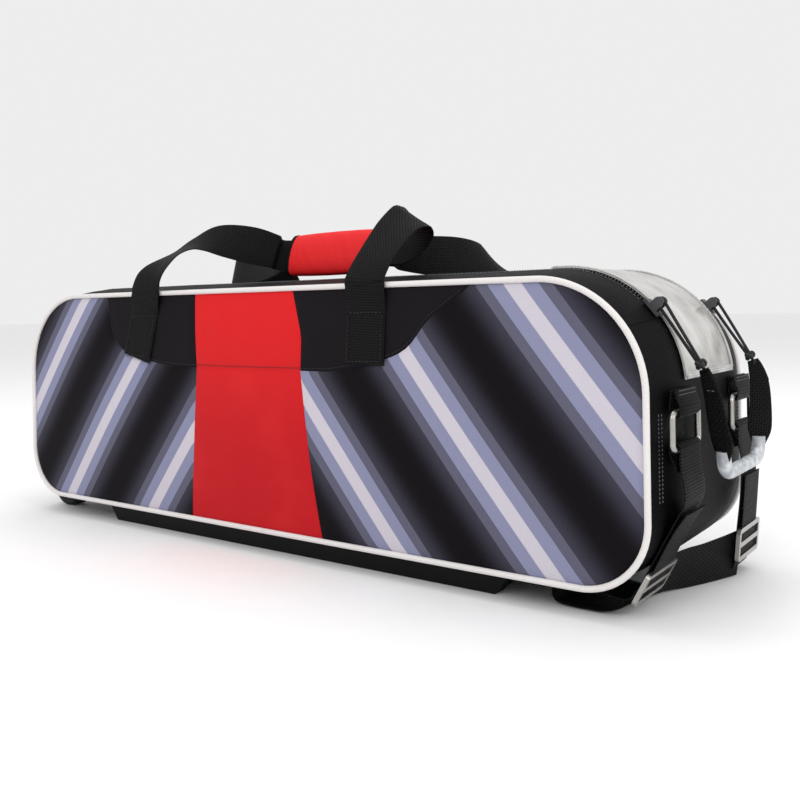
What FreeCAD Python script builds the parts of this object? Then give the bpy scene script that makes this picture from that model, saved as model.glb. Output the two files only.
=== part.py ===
"""Rolling bowling bag for three balls: a long soft-sided tote on two wheels and a skid.

Millimetres. +Z is up and z = 0 is the floor. +X runs along the bag to its pulling end,
and -Y is the front. The origin is on the flat bottom of the skid's middle runner.
Each node is one physical piece, or one group of identical pieces, in its own STEP file.
"""
import FreeCAD, Part

import math
import os

V = FreeCAD.Vector
os.makedirs("parts", exist_ok=True)

# ---- driving dimensions: the shell ----
HALF_LENGTH = 390.0         # side panel, half its length
FLOOR_GAP = 24.0            # floor to the bottom of the side panel
TOP = 260.0                 # floor to the top of the side panel
TOP_RADIUS = 88.0           # shoulder radius of the side panel
BOTTOM_RADIUS = 55.0        # lower corner radius of the side panel
HALF_DEPTH = 117.5          # centre plane to the outside of a side panel
SKIN = 3.0                  # fabric, foam and lining together
CROWN = 9.0                 # how far the top and the ends stand out of the side panel's edge
LID_HALF = 61.7             # half the lid's width
ZIP_INNER = 62.3            # zipper coil, from the centre plane
ZIP_OUTER = 65.7
PIPING_RADIUS = 3.0
SHOULDER_SEAM = 55.0        # degrees round the right shoulder where the top strips end
LEFT_SEAM = 40.0            # degrees round the left shoulder where the lid ends

# ---- side panel seams, as (x, z) ----
YOKE = [(-242, 257), (-220, 204), (-159, 186), (-87, 182), (59, 182), (102, 184), (170, 200),
        (202, 230), (243, 257)]
STRIPE_TOP = (-94.0, 44.0)      # centre stripe's edges at the top of the panel
STRIPE_SEAM = (-90.0, 52.0)     # and at the yoke's seam
STRIPE_FOOT = (-103.0, 76.0)    # and at the foot of the panel

# ---- webbing handles ----
WEB_HALF = 22.0             # half the width of the handle webbing
WEB_THICK = 3.0
LEG_HEIGHT = 66.0           # sewn length of a handle leg on the panel
LEG_X = {"front": ((-167.0, -185.0), (136.0, 133.0)),   # x of each leg at its top and its foot
         "back": ((-186.0, -194.0), (131.0, 128.0))}
HANDLE_HINGE = (122.5, 258.0)   # distance from the centre plane, and height
GRIP_FROM, GRIP_TO = -58.0, 66.0
GRIP_CENTRE = (-4.7, 300.6)     # y and z of the grip's middle
GRIP_SIZE = (21.0, 50.0)        # thickness and height
GRIP_WALL = 3.5
GRIP_LEAN = (0.35, 0.94)        # direction of the grip's height in y and z

# ---- end opening ----
FLAP_HINGE_X = 178.0
VINYL_FROM = 288.0
VINYL_END = 85.0            # degrees round the shoulder
VINYL = 2.0
SLIDER_ANGLE = 50.0         # where the sliders stand, in degrees round the shoulder
PULL_PIVOT_OUT = 19.0       # pull pin, out from the side panel's edge
PULL_Y = 67.5

# ---- pulling end ----
RING_Y = 74.0
RING_X = 404.0
RING_TOP_BAR = 158.5
RING_LOW_BAR = 131.5
RING_WIDTH = 58.0           # between the wire's centres
RING_WIRE = 2.5
TAB_RISE = 18.0             # how far a ring's tab reaches above the ring's bar
TOW_HALF = 23.0             # half the width of the tow webbing
TOW_THICK = 3.0
BRIDLE_X = 425.0

# ---- running gear ----
WHEEL_X, WHEEL_Y, WHEEL_Z = -375.0, 74.0, 27.0
WHEEL_RADIUS = 27.0
WHEEL_HALF = 11.0
HUB_RADIUS = 19.0
AXLE_RADIUS = 4.0
HOUSING_RADIUS = 34.0
SKID_FROM, SKID_TO = -266.0, 265.0
SKID_HALF = 100.0
SKID_PLATE = 6.0
RUNNER_WIDTH = 16.0
SCREW_X = (-230.0, 0.0, 230.0)
SCREW_Y = 46.0

# ---- inside ----
BALL_PITCH = 257.0
BALL_RADIUS = 108.0
CUP_HALF_LENGTH = 80.0
CUP_HALF_WIDTH = 96.0
CUP_HEIGHT = 25.0
BOARD_THICK = 4.0
DIVIDER_THICK = 8.0
DIVIDER_TOP = 190.0

made = {}


def save(name, shape):
    """Writes one node and keeps it for the summary."""
    if not shape.isValid():
        print("not valid:", name)
    made[name] = shape
    shape.exportStep("parts/" + name + ".step")


def solids_of(shape):
    """A compound with nothing but the solids of a shape."""
    return Part.makeCompound([solid for solid in shape.Solids])


def fused(shapes):
    """One shape from several that touch or overlap."""
    whole = shapes[0]
    if len(shapes) > 1:
        whole = shapes[0].multiFuse(shapes[1:])
    return whole.removeSplitter()


def box(low, high):
    """A box from its lowest and highest corners."""
    size = [high[i] - low[i] for i in range(3)]
    return Part.makeBox(size[0], size[1], size[2], V(*low))


def rod_y(radius, y_from, y_to, x, z):
    """A cylinder along Y."""
    return Part.makeCylinder(radius, y_to - y_from, V(x, y_from, z), V(0, 1, 0))


def prism(points, direction):
    """A prism on a closed polygon of 3-D points."""
    face = Part.Face(Part.makePolygon(points + [points[0]]))
    return face.extrude(direction)


def both_sides(make):
    """Calls make("front", -1) and make("back", 1)."""
    for name, side in (("front", -1), ("back", 1)):
        make(name, side)


# ---- the panel's outline, walked from the bottom centre by way of the left end ----
# Each stretch is a line (start, direction, length) or an arc (centre, radius, first angle),
# with angles in degrees from +Z towards +X.
END_LINE = TOP - FLOOR_GAP - TOP_RADIUS - BOTTOM_RADIUS
TOP_CX, TOP_CZ = HALF_LENGTH - TOP_RADIUS, TOP - TOP_RADIUS
LOW_CX, LOW_CZ = HALF_LENGTH - BOTTOM_RADIUS, FLOOR_GAP + BOTTOM_RADIUS
QUARTER_TOP = TOP_RADIUS * math.pi / 2
QUARTER_LOW = BOTTOM_RADIUS * math.pi / 2

STRETCHES = [
    ("line", V(0, 0, FLOOR_GAP), V(-1, 0, 0), LOW_CX),
    ("arc", V(-LOW_CX, 0, LOW_CZ), BOTTOM_RADIUS, 180.0),
    ("line", V(-HALF_LENGTH, 0, LOW_CZ), V(0, 0, 1), END_LINE),
    ("arc", V(-TOP_CX, 0, TOP_CZ), TOP_RADIUS, 270.0),
    ("line", V(-TOP_CX, 0, TOP), V(1, 0, 0), 2 * TOP_CX),
    ("arc", V(TOP_CX, 0, TOP_CZ), TOP_RADIUS, 0.0),
    ("line", V(HALF_LENGTH, 0, TOP_CZ), V(0, 0, -1), END_LINE),
    ("arc", V(LOW_CX, 0, LOW_CZ), BOTTOM_RADIUS, 90.0),
    ("line", V(LOW_CX, 0, FLOOR_GAP), V(-1, 0, 0), LOW_CX),
]
LENGTHS = [LOW_CX, QUARTER_LOW, END_LINE, QUARTER_TOP, 2 * TOP_CX,
           QUARTER_TOP, END_LINE, QUARTER_LOW, LOW_CX]
ROUND_TRIP = sum(LENGTHS)
TOP_CENTRE = ROUND_TRIP / 2
RIGHT_SHOULDER = TOP_CENTRE + TOP_CX
RIGHT_LINE_END = RIGHT_SHOULDER + QUARTER_TOP + END_LINE


def on_top(x):
    """Distance along the outline to a point on the flat top."""
    return TOP_CENTRE + x


def on_right_shoulder(degrees):
    return RIGHT_SHOULDER + TOP_RADIUS * math.radians(degrees)


def on_left_shoulder(degrees):
    return ROUND_TRIP - on_right_shoulder(degrees)


def radial(degrees):
    """The outward direction at an angle round a corner."""
    turn = math.radians(degrees)
    return V(math.sin(turn), 0, math.cos(turn))


def section_face(section, foot, outward):
    """A cross-section at one place: (y, out) points, or a circle as (y, out, radius)."""
    if len(section) == 3 and not isinstance(section[0], tuple):
        y, out, radius = section
        along = outward.cross(V(0, 1, 0))
        centre = foot + outward * out + V(0, y, 0)
        return Part.Face(Part.Wire(Part.makeCircle(radius, centre, along)))
    points = [foot + outward * out + V(0, y, 0) for y, out in section]
    return Part.Face(Part.makePolygon(points + [points[0]]))


def along_outline(section, start, end):
    """Carries a cross-section along the outline between two distances."""
    pieces = []
    here = 0.0
    for stretch, length in zip(STRETCHES, LENGTHS):
        first, last = max(start, here), min(end, here + length)
        if last - first > 0.01:
            if stretch[0] == "line":
                foot = stretch[1] + stretch[2] * (first - here)
                outward = V(0, 1, 0).cross(stretch[2]) * -1
                pieces.append(section_face(section, foot, outward).extrude(stretch[2] * (last - first)))
            else:
                centre, radius, angle = stretch[1:]
                degrees = angle + math.degrees((first - here) / radius)
                outward = radial(degrees)
                face = section_face(section, centre + outward * radius, outward)
                turn = math.degrees((last - first) / radius)
                pieces.append(face.revolve(centre, V(0, 1, 0), turn))
        here += length
    return fused(pieces)


def panel_outline(inset):
    """The side panel's outline as a face in the XZ plane, moved in by inset."""
    left, right = -HALF_LENGTH + inset, HALF_LENGTH - inset
    low, high = FLOOR_GAP + inset, TOP - inset
    small, large = BOTTOM_RADIUS - inset, TOP_RADIUS - inset
    corners = [(V(LOW_CX, 0, LOW_CZ), small, 90, 180), (V(-LOW_CX, 0, LOW_CZ), small, 180, 270),
               (V(-TOP_CX, 0, TOP_CZ), large, 270, 360), (V(TOP_CX, 0, TOP_CZ), large, 0, 90)]
    ends = [V(right, 0, TOP_CZ), V(right, 0, LOW_CZ), V(LOW_CX, 0, low), V(-LOW_CX, 0, low),
            V(left, 0, LOW_CZ), V(left, 0, TOP_CZ), V(-TOP_CX, 0, high), V(TOP_CX, 0, high)]
    edges = []
    for i, (centre, radius, first, last) in enumerate(corners):
        edges.append(Part.makeLine(ends[2 * i], ends[2 * i + 1]))
        middle = centre + radial((first + last) / 2) * radius
        edges.append(Part.Arc(ends[2 * i + 1], middle, ends[(2 * i + 2) % 8]).toShape())
    return Part.Face(Part.Wire(edges))


# ---- side panels ----

def side_panels(name, side):
    """The pieces that are sewn together into one side panel."""
    y_low = -HALF_DEPTH if side < 0 else HALF_DEPTH - SKIN
    plate = panel_outline(PIPING_RADIUS)
    plate.translate(V(0, y_low, 0))
    plate = plate.extrude(V(0, SKIN, 0))
    across = V(0, SKIN + 2, 0)

    yoke_line = [V(x, y_low - 1, z) for x, z in YOKE]
    above = prism(yoke_line + [V(YOKE[-1][0], y_low - 1, TOP + 20), V(YOKE[0][0], y_low - 1, TOP + 20)],
                  across)
    seam_z = 182.0
    stripe_points = [V(STRIPE_FOOT[0], y_low - 1, 0), V(STRIPE_FOOT[1], y_low - 1, 0),
                     V(STRIPE_SEAM[1], y_low - 1, seam_z), V(STRIPE_TOP[1], y_low - 1, TOP + 10),
                     V(STRIPE_TOP[0], y_low - 1, TOP + 10), V(STRIPE_SEAM[0], y_low - 1, seam_z)]
    stripe = prism(stripe_points, across)

    save(name + "_yoke", solids_of(plate.common(above).cut(stripe)))
    save(name + "_stripe_upper", plate.common(above).common(stripe))
    lower = plate.cut(above)
    save(name + "_stripe_lower", lower.common(stripe))
    halves = sorted(lower.cut(stripe).Solids, key=lambda solid: solid.CenterOfMass.x)
    save(name + "_panel_left", halves[0])
    save(name + "_panel_right", halves[-1])

    circle = (side * HALF_DEPTH, 0.0, PIPING_RADIUS)
    save(name + "_piping", along_outline(circle, 0.0, ROUND_TRIP))

    outer = side * (HALF_DEPTH + WEB_THICK)
    inner = side * HALF_DEPTH
    legs = []
    z_top = TOP - PIPING_RADIUS - 2.5
    z_foot = z_top - LEG_HEIGHT
    for x_top, x_foot in LEG_X[name]:
        points = [V(x_foot - WEB_HALF, inner, z_foot), V(x_foot + WEB_HALF, inner, z_foot),
                  V(x_top + WEB_HALF, inner, z_top), V(x_top - WEB_HALF, inner, z_top)]
        legs.append(prism(points, V(0, outer - inner, 0)))
    save(name + "_handle_legs", Part.makeCompound(legs))


both_sides(side_panels)


# ---- top, ends and bottom ----

EDGE = HALF_DEPTH - SKIN    # where a gusset meets the side panel


def top_strips(name, side):
    """The strip between a side panel and its zipper, and the zipper's coil."""
    strip = [(side * EDGE, -SKIN), (side * EDGE, 0.0), (side * ZIP_OUTER, CROWN),
             (side * ZIP_OUTER, CROWN - SKIN)]
    save("top_strip_" + name, along_outline(strip, on_left_shoulder(LEFT_SEAM),
                                            on_right_shoulder(SHOULDER_SEAM)))
    coil = [(side * ZIP_INNER, CROWN - 2.0), (side * ZIP_OUTER, CROWN - 2.0),
            (side * ZIP_OUTER, CROWN + 1.0), (side * ZIP_INNER, CROWN + 1.0)]
    save("zipper_coil_" + name, along_outline(coil, on_left_shoulder(LEFT_SEAM),
                                              on_right_shoulder(SHOULDER_SEAM)))


both_sides(top_strips)

crowned = [(-EDGE, 0.0), (-ZIP_OUTER, CROWN), (ZIP_OUTER, CROWN), (EDGE, 0.0),
           (EDGE, -SKIN), (ZIP_OUTER, CROWN - SKIN), (-ZIP_OUTER, CROWN - SKIN), (-EDGE, -SKIN)]
save("end_panel_right", along_outline(crowned, on_right_shoulder(SHOULDER_SEAM), RIGHT_LINE_END))
save("end_panel_left", along_outline(crowned, ROUND_TRIP - RIGHT_LINE_END,
                                     on_left_shoulder(LEFT_SEAM)))

lid = [(-LID_HALF, CROWN - 2.0), (-LID_HALF, CROWN + 1.0), (LID_HALF, CROWN + 1.0),
       (LID_HALF, CROWN - 2.0)]
save("lid_main", along_outline(lid, on_left_shoulder(LEFT_SEAM), on_top(FLAP_HINGE_X)))
save("lid_end_panel", along_outline(lid, on_top(FLAP_HINGE_X + 0.5), on_top(TOP_CX)))
vinyl = [(-LID_HALF, CROWN + 1.0), (-LID_HALF, CROWN + 1.0 + VINYL),
         (LID_HALF, CROWN + 1.0 + VINYL), (LID_HALF, CROWN + 1.0)]
save("lid_flap_vinyl", along_outline(vinyl, on_top(VINYL_FROM), on_right_shoulder(VINYL_END)))

screw_shanks = [Part.makeCylinder(2.0, 60.0, V(x, side * SCREW_Y, 0), V(0, 0, 1))
                for x in SCREW_X for side in (-1, 1)]
wells = [rod_y(HOUSING_RADIUS, WHEEL_Y - 16, WHEEL_Y + 16, WHEEL_X, WHEEL_Z),
         rod_y(HOUSING_RADIUS, -WHEEL_Y - 16, -WHEEL_Y + 16, WHEEL_X, WHEEL_Z)]
flat = [(-EDGE, 0.0), (EDGE, 0.0), (EDGE, -SKIN), (-EDGE, -SKIN)]
bottom = fused([along_outline(flat, RIGHT_LINE_END, ROUND_TRIP),
                along_outline(flat, 0.0, ROUND_TRIP - RIGHT_LINE_END)])
for tool in screw_shanks + wells:
    bottom = bottom.cut(tool)
save("bottom_panel", bottom)


# ---- inside: board, ball cups and dividers ----

board_low = FLOOR_GAP + SKIN
board_top = board_low + BOARD_THICK
board = box((-LOW_CX, -EDGE, board_low), (LOW_CX, EDGE, board_top))
for tool in screw_shanks:
    board = board.cut(tool)
save("base_board", board)

for name, x in (("left", -BALL_PITCH), ("middle", 0.0), ("right", BALL_PITCH)):
    cup = box((x - CUP_HALF_LENGTH, -CUP_HALF_WIDTH, board_top),
              (x + CUP_HALF_LENGTH, CUP_HALF_WIDTH, board_top + CUP_HEIGHT))
    ball = Part.makeSphere(BALL_RADIUS + 1.0, V(x, 0, board_top + 4.0 + BALL_RADIUS + 1.0))
    save("ball_cup_" + name, cup.cut(ball))
for name, side in (("left", -1), ("right", 1)):
    x = side * BALL_PITCH / 2
    save("divider_" + name, box((x - DIVIDER_THICK / 2, -EDGE, board_top),
                                (x + DIVIDER_THICK / 2, EDGE, DIVIDER_TOP)))


# ---- skid ----

def runner(y_middle):
    """A runner with sloping ends, from the floor to the skid's plate."""
    high = FLOOR_GAP - SKID_PLATE
    y = y_middle - RUNNER_WIDTH / 2
    points = [V(SKID_FROM + 14, y, 0), V(SKID_TO - 14, y, 0), V(SKID_TO, y, high),
              V(SKID_FROM, y, high)]
    return prism(points, V(0, RUNNER_WIDTH, 0))


skid_plate = box((SKID_FROM, -SKID_HALF, FLOOR_GAP - SKID_PLATE), (SKID_TO, SKID_HALF, FLOOR_GAP))
runner_edge = SKID_HALF - RUNNER_WIDTH / 2
skid = fused([skid_plate] + [runner(y) for y in (-runner_edge, 0.0, runner_edge)])
for tool in screw_shanks:
    skid = skid.cut(tool)
save("base_skid", skid)

screws = []
plate_under = FLOOR_GAP - SKID_PLATE
for x in SCREW_X:
    for side in (-1, 1):
        foot = V(x, side * SCREW_Y, plate_under - 2.5)
        head = Part.makeCylinder(4.5, 2.5, foot, V(0, 0, 1))
        shank = Part.makeCylinder(2.0, board_top - plate_under, V(x, side * SCREW_Y, plate_under),
                                  V(0, 0, 1))
        screws.append(fused([head, shank]))
save("skid_screws", Part.makeCompound(screws))


# ---- wheels ----

def wheel(name, side):
    """Housing, axle, hub and tyre of one wheel."""
    middle = side * WHEEL_Y
    shell = rod_y(HOUSING_RADIUS, middle - 16, middle + 16, WHEEL_X, WHEEL_Z)
    shell = shell.cut(rod_y(WHEEL_RADIUS + 2.5, middle - 13, middle + 13, WHEEL_X, WHEEL_Z))
    reach = 60.0
    away = [V(WHEEL_X - reach, middle - 20, WHEEL_Z + reach * 0.62),
            V(WHEEL_X - 8, middle - 20, WHEEL_Z + 12),
            V(WHEEL_X - 8, middle - 20, WHEEL_Z - 9),
            V(WHEEL_X + reach, middle - 20, WHEEL_Z - 14),
            V(WHEEL_X + reach, middle - 20, WHEEL_Z - reach),
            V(WHEEL_X - reach, middle - 20, WHEEL_Z - reach)]
    shell = shell.cut(prism(away, V(0, 40, 0)))
    shell = shell.cut(rod_y(AXLE_RADIUS, middle - 17, middle + 17, WHEEL_X, WHEEL_Z))
    save("wheel_housing_" + name, shell)

    axle = rod_y(AXLE_RADIUS, middle - 16, middle + 16, WHEEL_X, WHEEL_Z)
    caps = [rod_y(AXLE_RADIUS + 2.5, middle - 18, middle - 16, WHEEL_X, WHEEL_Z),
            rod_y(AXLE_RADIUS + 2.5, middle + 16, middle + 18, WHEEL_X, WHEEL_Z)]
    save("wheel_axle_" + name, fused([axle] + caps))

    hub = rod_y(HUB_RADIUS, middle - 9, middle + 9, WHEEL_X, WHEEL_Z)
    boss = rod_y(7.0, middle - WHEEL_HALF - 1, middle + WHEEL_HALF + 1, WHEEL_X, WHEEL_Z)
    hub = fused([hub, boss])
    for turn in range(5):
        angle = math.radians(72 * turn)
        hub = hub.cut(rod_y(3.2, middle - 20, middle + 20, WHEEL_X + 12.5 * math.cos(angle),
                            WHEEL_Z + 12.5 * math.sin(angle)))
    save("wheel_hub_" + name, hub.cut(rod_y(AXLE_RADIUS + 0.05, middle - 20, middle + 20,
                                            WHEEL_X, WHEEL_Z)))
    tyre = rod_y(WHEEL_RADIUS, middle - WHEEL_HALF, middle + WHEEL_HALF, WHEEL_X, WHEEL_Z)
    rims = [edge for edge in tyre.Edges if isinstance(edge.Curve, Part.Circle)]
    tyre = tyre.makeFillet(4.0, rims)
    save("wheel_tyre_" + name, tyre.cut(rod_y(HUB_RADIUS, middle - 20, middle + 20,
                                              WHEEL_X, WHEEL_Z)))


both_sides(wheel)


# ---- carrying handles: a webbing strip that turns from upright legs to a level grip ----
# Each station is the strip's middle (x, y, z), the direction across it and half its width.

FRONT_HANDLE = [
    ((-167, -122.5, 258.4), (1, 0, 0), 22),
    ((-167, -122.5, 266), (1, 0, 0), 22),
    ((-162, -119, 279), (1, -0.05, -0.05), 22),
    ((-152, -110, 293), (0.93, -0.35, -0.1), 22),
    ((-142, -97, 305), (0.78, -0.6, -0.15), 22),
    ((-131, -80, 314), (0.58, -0.7, -0.42), 22),
    ((-114, -60, 318), (0.3, -0.5, -0.8), 22),
    ((-92, -36, 313), (0.05, -0.38, -0.92), 22),
    ((-74, -18, 306), (0, -0.38, -0.92), 20),
    ((-62, -8.4, 301.8), (0, -0.35, -0.94), 17.5),
    ((70, -8.4, 301.8), (0, -0.35, -0.94), 17.5),
    ((86, -10, 302), (0.05, -0.35, -0.93), 19),
    ((106, -15, 305), (0.3, -0.35, -0.88), 21),
    ((125, -27, 313), (0.6, -0.3, -0.74), 22),
    ((139, -43, 322), (0.8, -0.1, -0.56), 22),
    ((145, -61, 325), (0.86, 0, -0.5), 22),
    ((144, -81, 316), (0.95, 0, -0.25), 22),
    ((142, -99, 300), (1, 0, -0.08), 22),
    ((139, -114, 282), (1, 0, 0), 22),
    ((136, -122.5, 266), (1, 0, 0), 22),
    ((136, -122.5, 258.4), (1, 0, 0), 22),
]
BACK_HANDLE = [
    ((-186, 122.5, 258.4), (1, 0, 0), 22),
    ((-186, 122.5, 266), (1, 0, 0), 22),
    ((-188, 122.5, 276), (1, 0, 0.1), 22),
    ((-202, 117, 287), (0.8, 0.3, 0.5), 22),
    ((-223, 103, 293), (0.5, 0.4, 0.77), 22),
    ((-236, 82, 294), (0.15, 0.25, 0.95), 22),
    ((-220, 62, 294), (0, 0.25, 0.96), 22),
    ((-175, 45, 294), (0, 0.28, 0.95), 22),
    ((-126, 25, 297), (0, 0.33, 0.94), 22),
    ((-88, 7, 299), (0, 0.35, 0.94), 20),
    ((-62, -0.6, 300), (0, 0.35, 0.94), 17.5),
    ((70, -0.6, 300), (0, 0.35, 0.94), 17.5),
    ((90, 4, 297), (0, 0.38, 0.92), 20),
    ((115, 16, 293.5), (-0.05, 0.4, 0.91), 22),
    ((133, 34, 293), (-0.2, 0.4, 0.9), 22),
    ((145, 58, 291), (-0.4, 0.35, 0.85), 22),
    ((150, 80, 288), (-0.65, 0.25, 0.7), 22),
    ((145, 103, 282), (-0.92, 0.1, 0.35), 22),
    ((136, 118, 276), (-1, 0, 0.05), 22),
    ((131, 122.5, 266), (-1, 0, 0), 22),
    ((131, 122.5, 258.4), (-1, 0, 0), 22),
]


def webbing(stations):
    """A flat strip through its stations."""
    middles = [V(*station[0]) for station in stations]
    wires = []
    for i, (middle, across, half) in enumerate(stations):
        along = middles[min(i + 1, len(middles) - 1)] - middles[max(i - 1, 0)]
        along.normalize()
        across = V(*across)
        across = across - along * across.dot(along)
        across.normalize()
        normal = along.cross(across)
        c, w, n = middles[i], across * half, normal * (WEB_THICK / 2)
        corners = [c + w + n, c + w - n, c - w - n, c - w + n]
        wires.append(Part.makePolygon(corners + [corners[0]]))
    return Part.makeLoft(wires, True, True)


save("front_handle", webbing(FRONT_HANDLE))
save("back_handle", webbing(BACK_HANDLE))


def grip_outline(thickness, height, x):
    """A rounded slot shape across the grip at one x."""
    up = V(0, GRIP_LEAN[0], GRIP_LEAN[1])
    up.normalize()
    out = V(1, 0, 0).cross(up)
    middle = V(x, *GRIP_CENTRE)
    radius = thickness / 2
    straight = height / 2 - radius
    top, foot = middle + up * straight, middle - up * straight
    edges = [Part.makeLine(foot + out * radius, top + out * radius),
             Part.Arc(top + out * radius, top + up * radius, top - out * radius).toShape(),
             Part.makeLine(top - out * radius, foot - out * radius),
             Part.Arc(foot - out * radius, foot - up * radius, foot + out * radius).toShape()]
    return Part.Face(Part.Wire(edges))


grip_length = V(GRIP_TO - GRIP_FROM, 0, 0)
grip = grip_outline(GRIP_SIZE[0], GRIP_SIZE[1], GRIP_FROM).extrude(grip_length)
bore = grip_outline(GRIP_SIZE[0] - 2 * GRIP_WALL, GRIP_SIZE[1] - 2 * GRIP_WALL, GRIP_FROM)
save("grip_wrap", grip.cut(bore.extrude(grip_length)))


# ---- zipper sliders and pulls ----

SLIDER_FOOT = CROWN + 1.4
shoulder = V(TOP_CX, 0, TOP_CZ)


def out_at(out, y, along=0.0):
    """A point over the shoulder at the slider's angle: out from the panel edge, and along it."""
    direction = radial(SLIDER_ANGLE)
    tangent = radial(SLIDER_ANGLE + 90)
    return shoulder + direction * (TOP_RADIUS + out) + tangent * along + V(0, y, 0)


def shoulder_block(y_from, y_to, out_from, out_to, half_long):
    """A block lying on the shoulder at the slider's angle."""
    points = [out_at(out_from, y_from, -half_long), out_at(out_from, y_from, half_long),
              out_at(out_to, y_from, half_long), out_at(out_to, y_from, -half_long)]
    return prism(points, V(0, y_to - y_from, 0))


def slider_and_pull(name, side):
    """A slider with a bridge, and the pull's two cheeks and pin."""
    y_low, y_high = (62.6, 72.4) if side > 0 else (-72.4, -62.6)
    base = shoulder_block(y_low, y_high, SLIDER_FOOT, SLIDER_FOOT + 3.0, 8.0)
    save("zip_slider_" + name, base)
    cheeks = []
    for y in (y_low, y_high - 1.6):
        block = shoulder_block(y, y + 1.6, SLIDER_FOOT + 3.0, PULL_PIVOT_OUT, 4.0)
        pin_at = out_at(PULL_PIVOT_OUT, y)
        cheeks.append(block)
        cheeks.append(Part.makeCylinder(4.0, 1.6, pin_at, V(0, 1, 0)))
    pin = Part.makeCylinder(1.3, y_high - y_low, out_at(PULL_PIVOT_OUT, y_low), V(0, 1, 0))
    save("zip_pull_" + name, fused(cheeks + [pin]))


both_sides(slider_and_pull)


# ---- lifting bridle on the zipper pulls ----

pivot = out_at(PULL_PIVOT_OUT, 0)
KNOT = V(414.0, 0, 193.0)


def bridle_leg(name, side):
    """Cord with its loop and knot, then the webbing leg."""
    at_pivot = pivot + V(0, side * PULL_Y, 0)
    knot = KNOT + V(0, side * PULL_Y, 0)
    eye = Part.makeTorus(3.4, 1.4, at_pivot, V(0, 1, 0))
    run = knot - at_pivot
    length = run.Length
    run.normalize()
    cord = Part.makeCylinder(1.8, length - 3.4, at_pivot + run * 3.4, run)
    ball = Part.makeSphere(5.5, knot)
    save("bridle_cord_" + name, fused([eye, cord, ball]))
    half_x, half_y = 12.5, 1.5
    stations = [(424.0, 187.4, PULL_Y), (424.5, 160.0, 64.5), (425.0, 126.0, 50.0)]
    wires = []
    for x, z, y in stations:
        y = side * y
        corners = [V(x - half_x, y - half_y, z), V(x + half_x, y - half_y, z),
                   V(x + half_x, y + half_y, z), V(x - half_x, y + half_y, z)]
        wires.append(Part.makePolygon(corners + [corners[0]]))
    save("bridle_webbing_" + name, Part.makeLoft(wires, True, True))


both_sides(bridle_leg)

# The clear tube hangs between the webbing legs as a shallow U.
TUBE_RADIUS = 5.5
tube_y, tube_z, tube_low, tube_bend = 50.0, 125.6, 108.0, 15.0
bend_low = V(BRIDLE_X, -tube_y + tube_bend * (1 - math.sqrt(0.5)),
             tube_low + tube_bend * (1 - math.sqrt(0.5)))
tube_path = Part.Wire([
    Part.makeLine(V(BRIDLE_X, -tube_y, tube_z), V(BRIDLE_X, -tube_y, tube_low + tube_bend)),
    Part.Arc(V(BRIDLE_X, -tube_y, tube_low + tube_bend), bend_low,
             V(BRIDLE_X, -tube_y + tube_bend, tube_low)).toShape(),
    Part.makeLine(V(BRIDLE_X, -tube_y + tube_bend, tube_low), V(BRIDLE_X, tube_y - tube_bend, tube_low)),
    Part.Arc(V(BRIDLE_X, tube_y - tube_bend, tube_low), V(BRIDLE_X, -bend_low.y, bend_low.z),
             V(BRIDLE_X, tube_y, tube_low + tube_bend)).toShape(),
    Part.makeLine(V(BRIDLE_X, tube_y, tube_low + tube_bend), V(BRIDLE_X, tube_y, tube_z)),
])
tube_ring = Part.Wire(Part.makeCircle(TUBE_RADIUS, V(BRIDLE_X, -tube_y, tube_z), V(0, 0, 1)))
save("bridle_tube", tube_path.makePipeShell([tube_ring], True, False))


# ---- rings, their tabs, the tow strap and its tri-glides ----

def ring_loop(x, y, z_low, z_high, width, wire):
    """A wire rectangle with round corners, standing in the YZ plane."""
    bend = 5.0
    half = width / 2
    corners = [(y - half, z_low), (y + half, z_low), (y + half, z_high), (y - half, z_high)]
    pieces = []
    for i in range(4):
        y0, z0 = corners[i]
        y1, z1 = corners[(i + 1) % 4]
        run = V(0, y1 - y0, z1 - z0)
        length = run.Length
        run.normalize()
        foot = V(x, y0, z0) + run * bend
        pieces.append(Part.makeCylinder(wire, length - 2 * bend, foot, run))
        inward = V(0, math.copysign(1, y - y0), math.copysign(1, (z_low + z_high) / 2 - z0))
        centre = V(x, y0, z0) + inward * bend
        quarter = Part.makeTorus(bend, wire, centre, V(1, 0, 0))
        window = box((x - 9, min(centre.y, centre.y - inward.y * 20),
                      min(centre.z, centre.z - inward.z * 20)),
                     (x + 9, max(centre.y, centre.y - inward.y * 20),
                      max(centre.z, centre.z - inward.z * 20)))
        pieces.append(quarter.common(window))
    return fused(pieces)


def strap_run(points, thickness, y_low, y_high):
    """A strap seen edge on: straight runs between (x, z) points, with round joins."""
    pieces = []
    for i in range(len(points) - 1):
        a, b = V(points[i][0], y_low, points[i][1]), V(points[i + 1][0], y_low, points[i + 1][1])
        along = b - a
        along.normalize()
        side = along.cross(V(0, 1, 0)) * (thickness / 2)
        pieces.append(prism([a + side, b + side, b - side, a - side], V(0, y_high - y_low, 0)))
        if i > 0:
            pieces.append(rod_y(thickness / 2, y_low, y_high, points[i][0], points[i][1]))
    return fused(pieces)


LOOP_INSIDE = RING_WIRE + 0.4
LOOP_OUTSIDE = LOOP_INSIDE + 1.6


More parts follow.
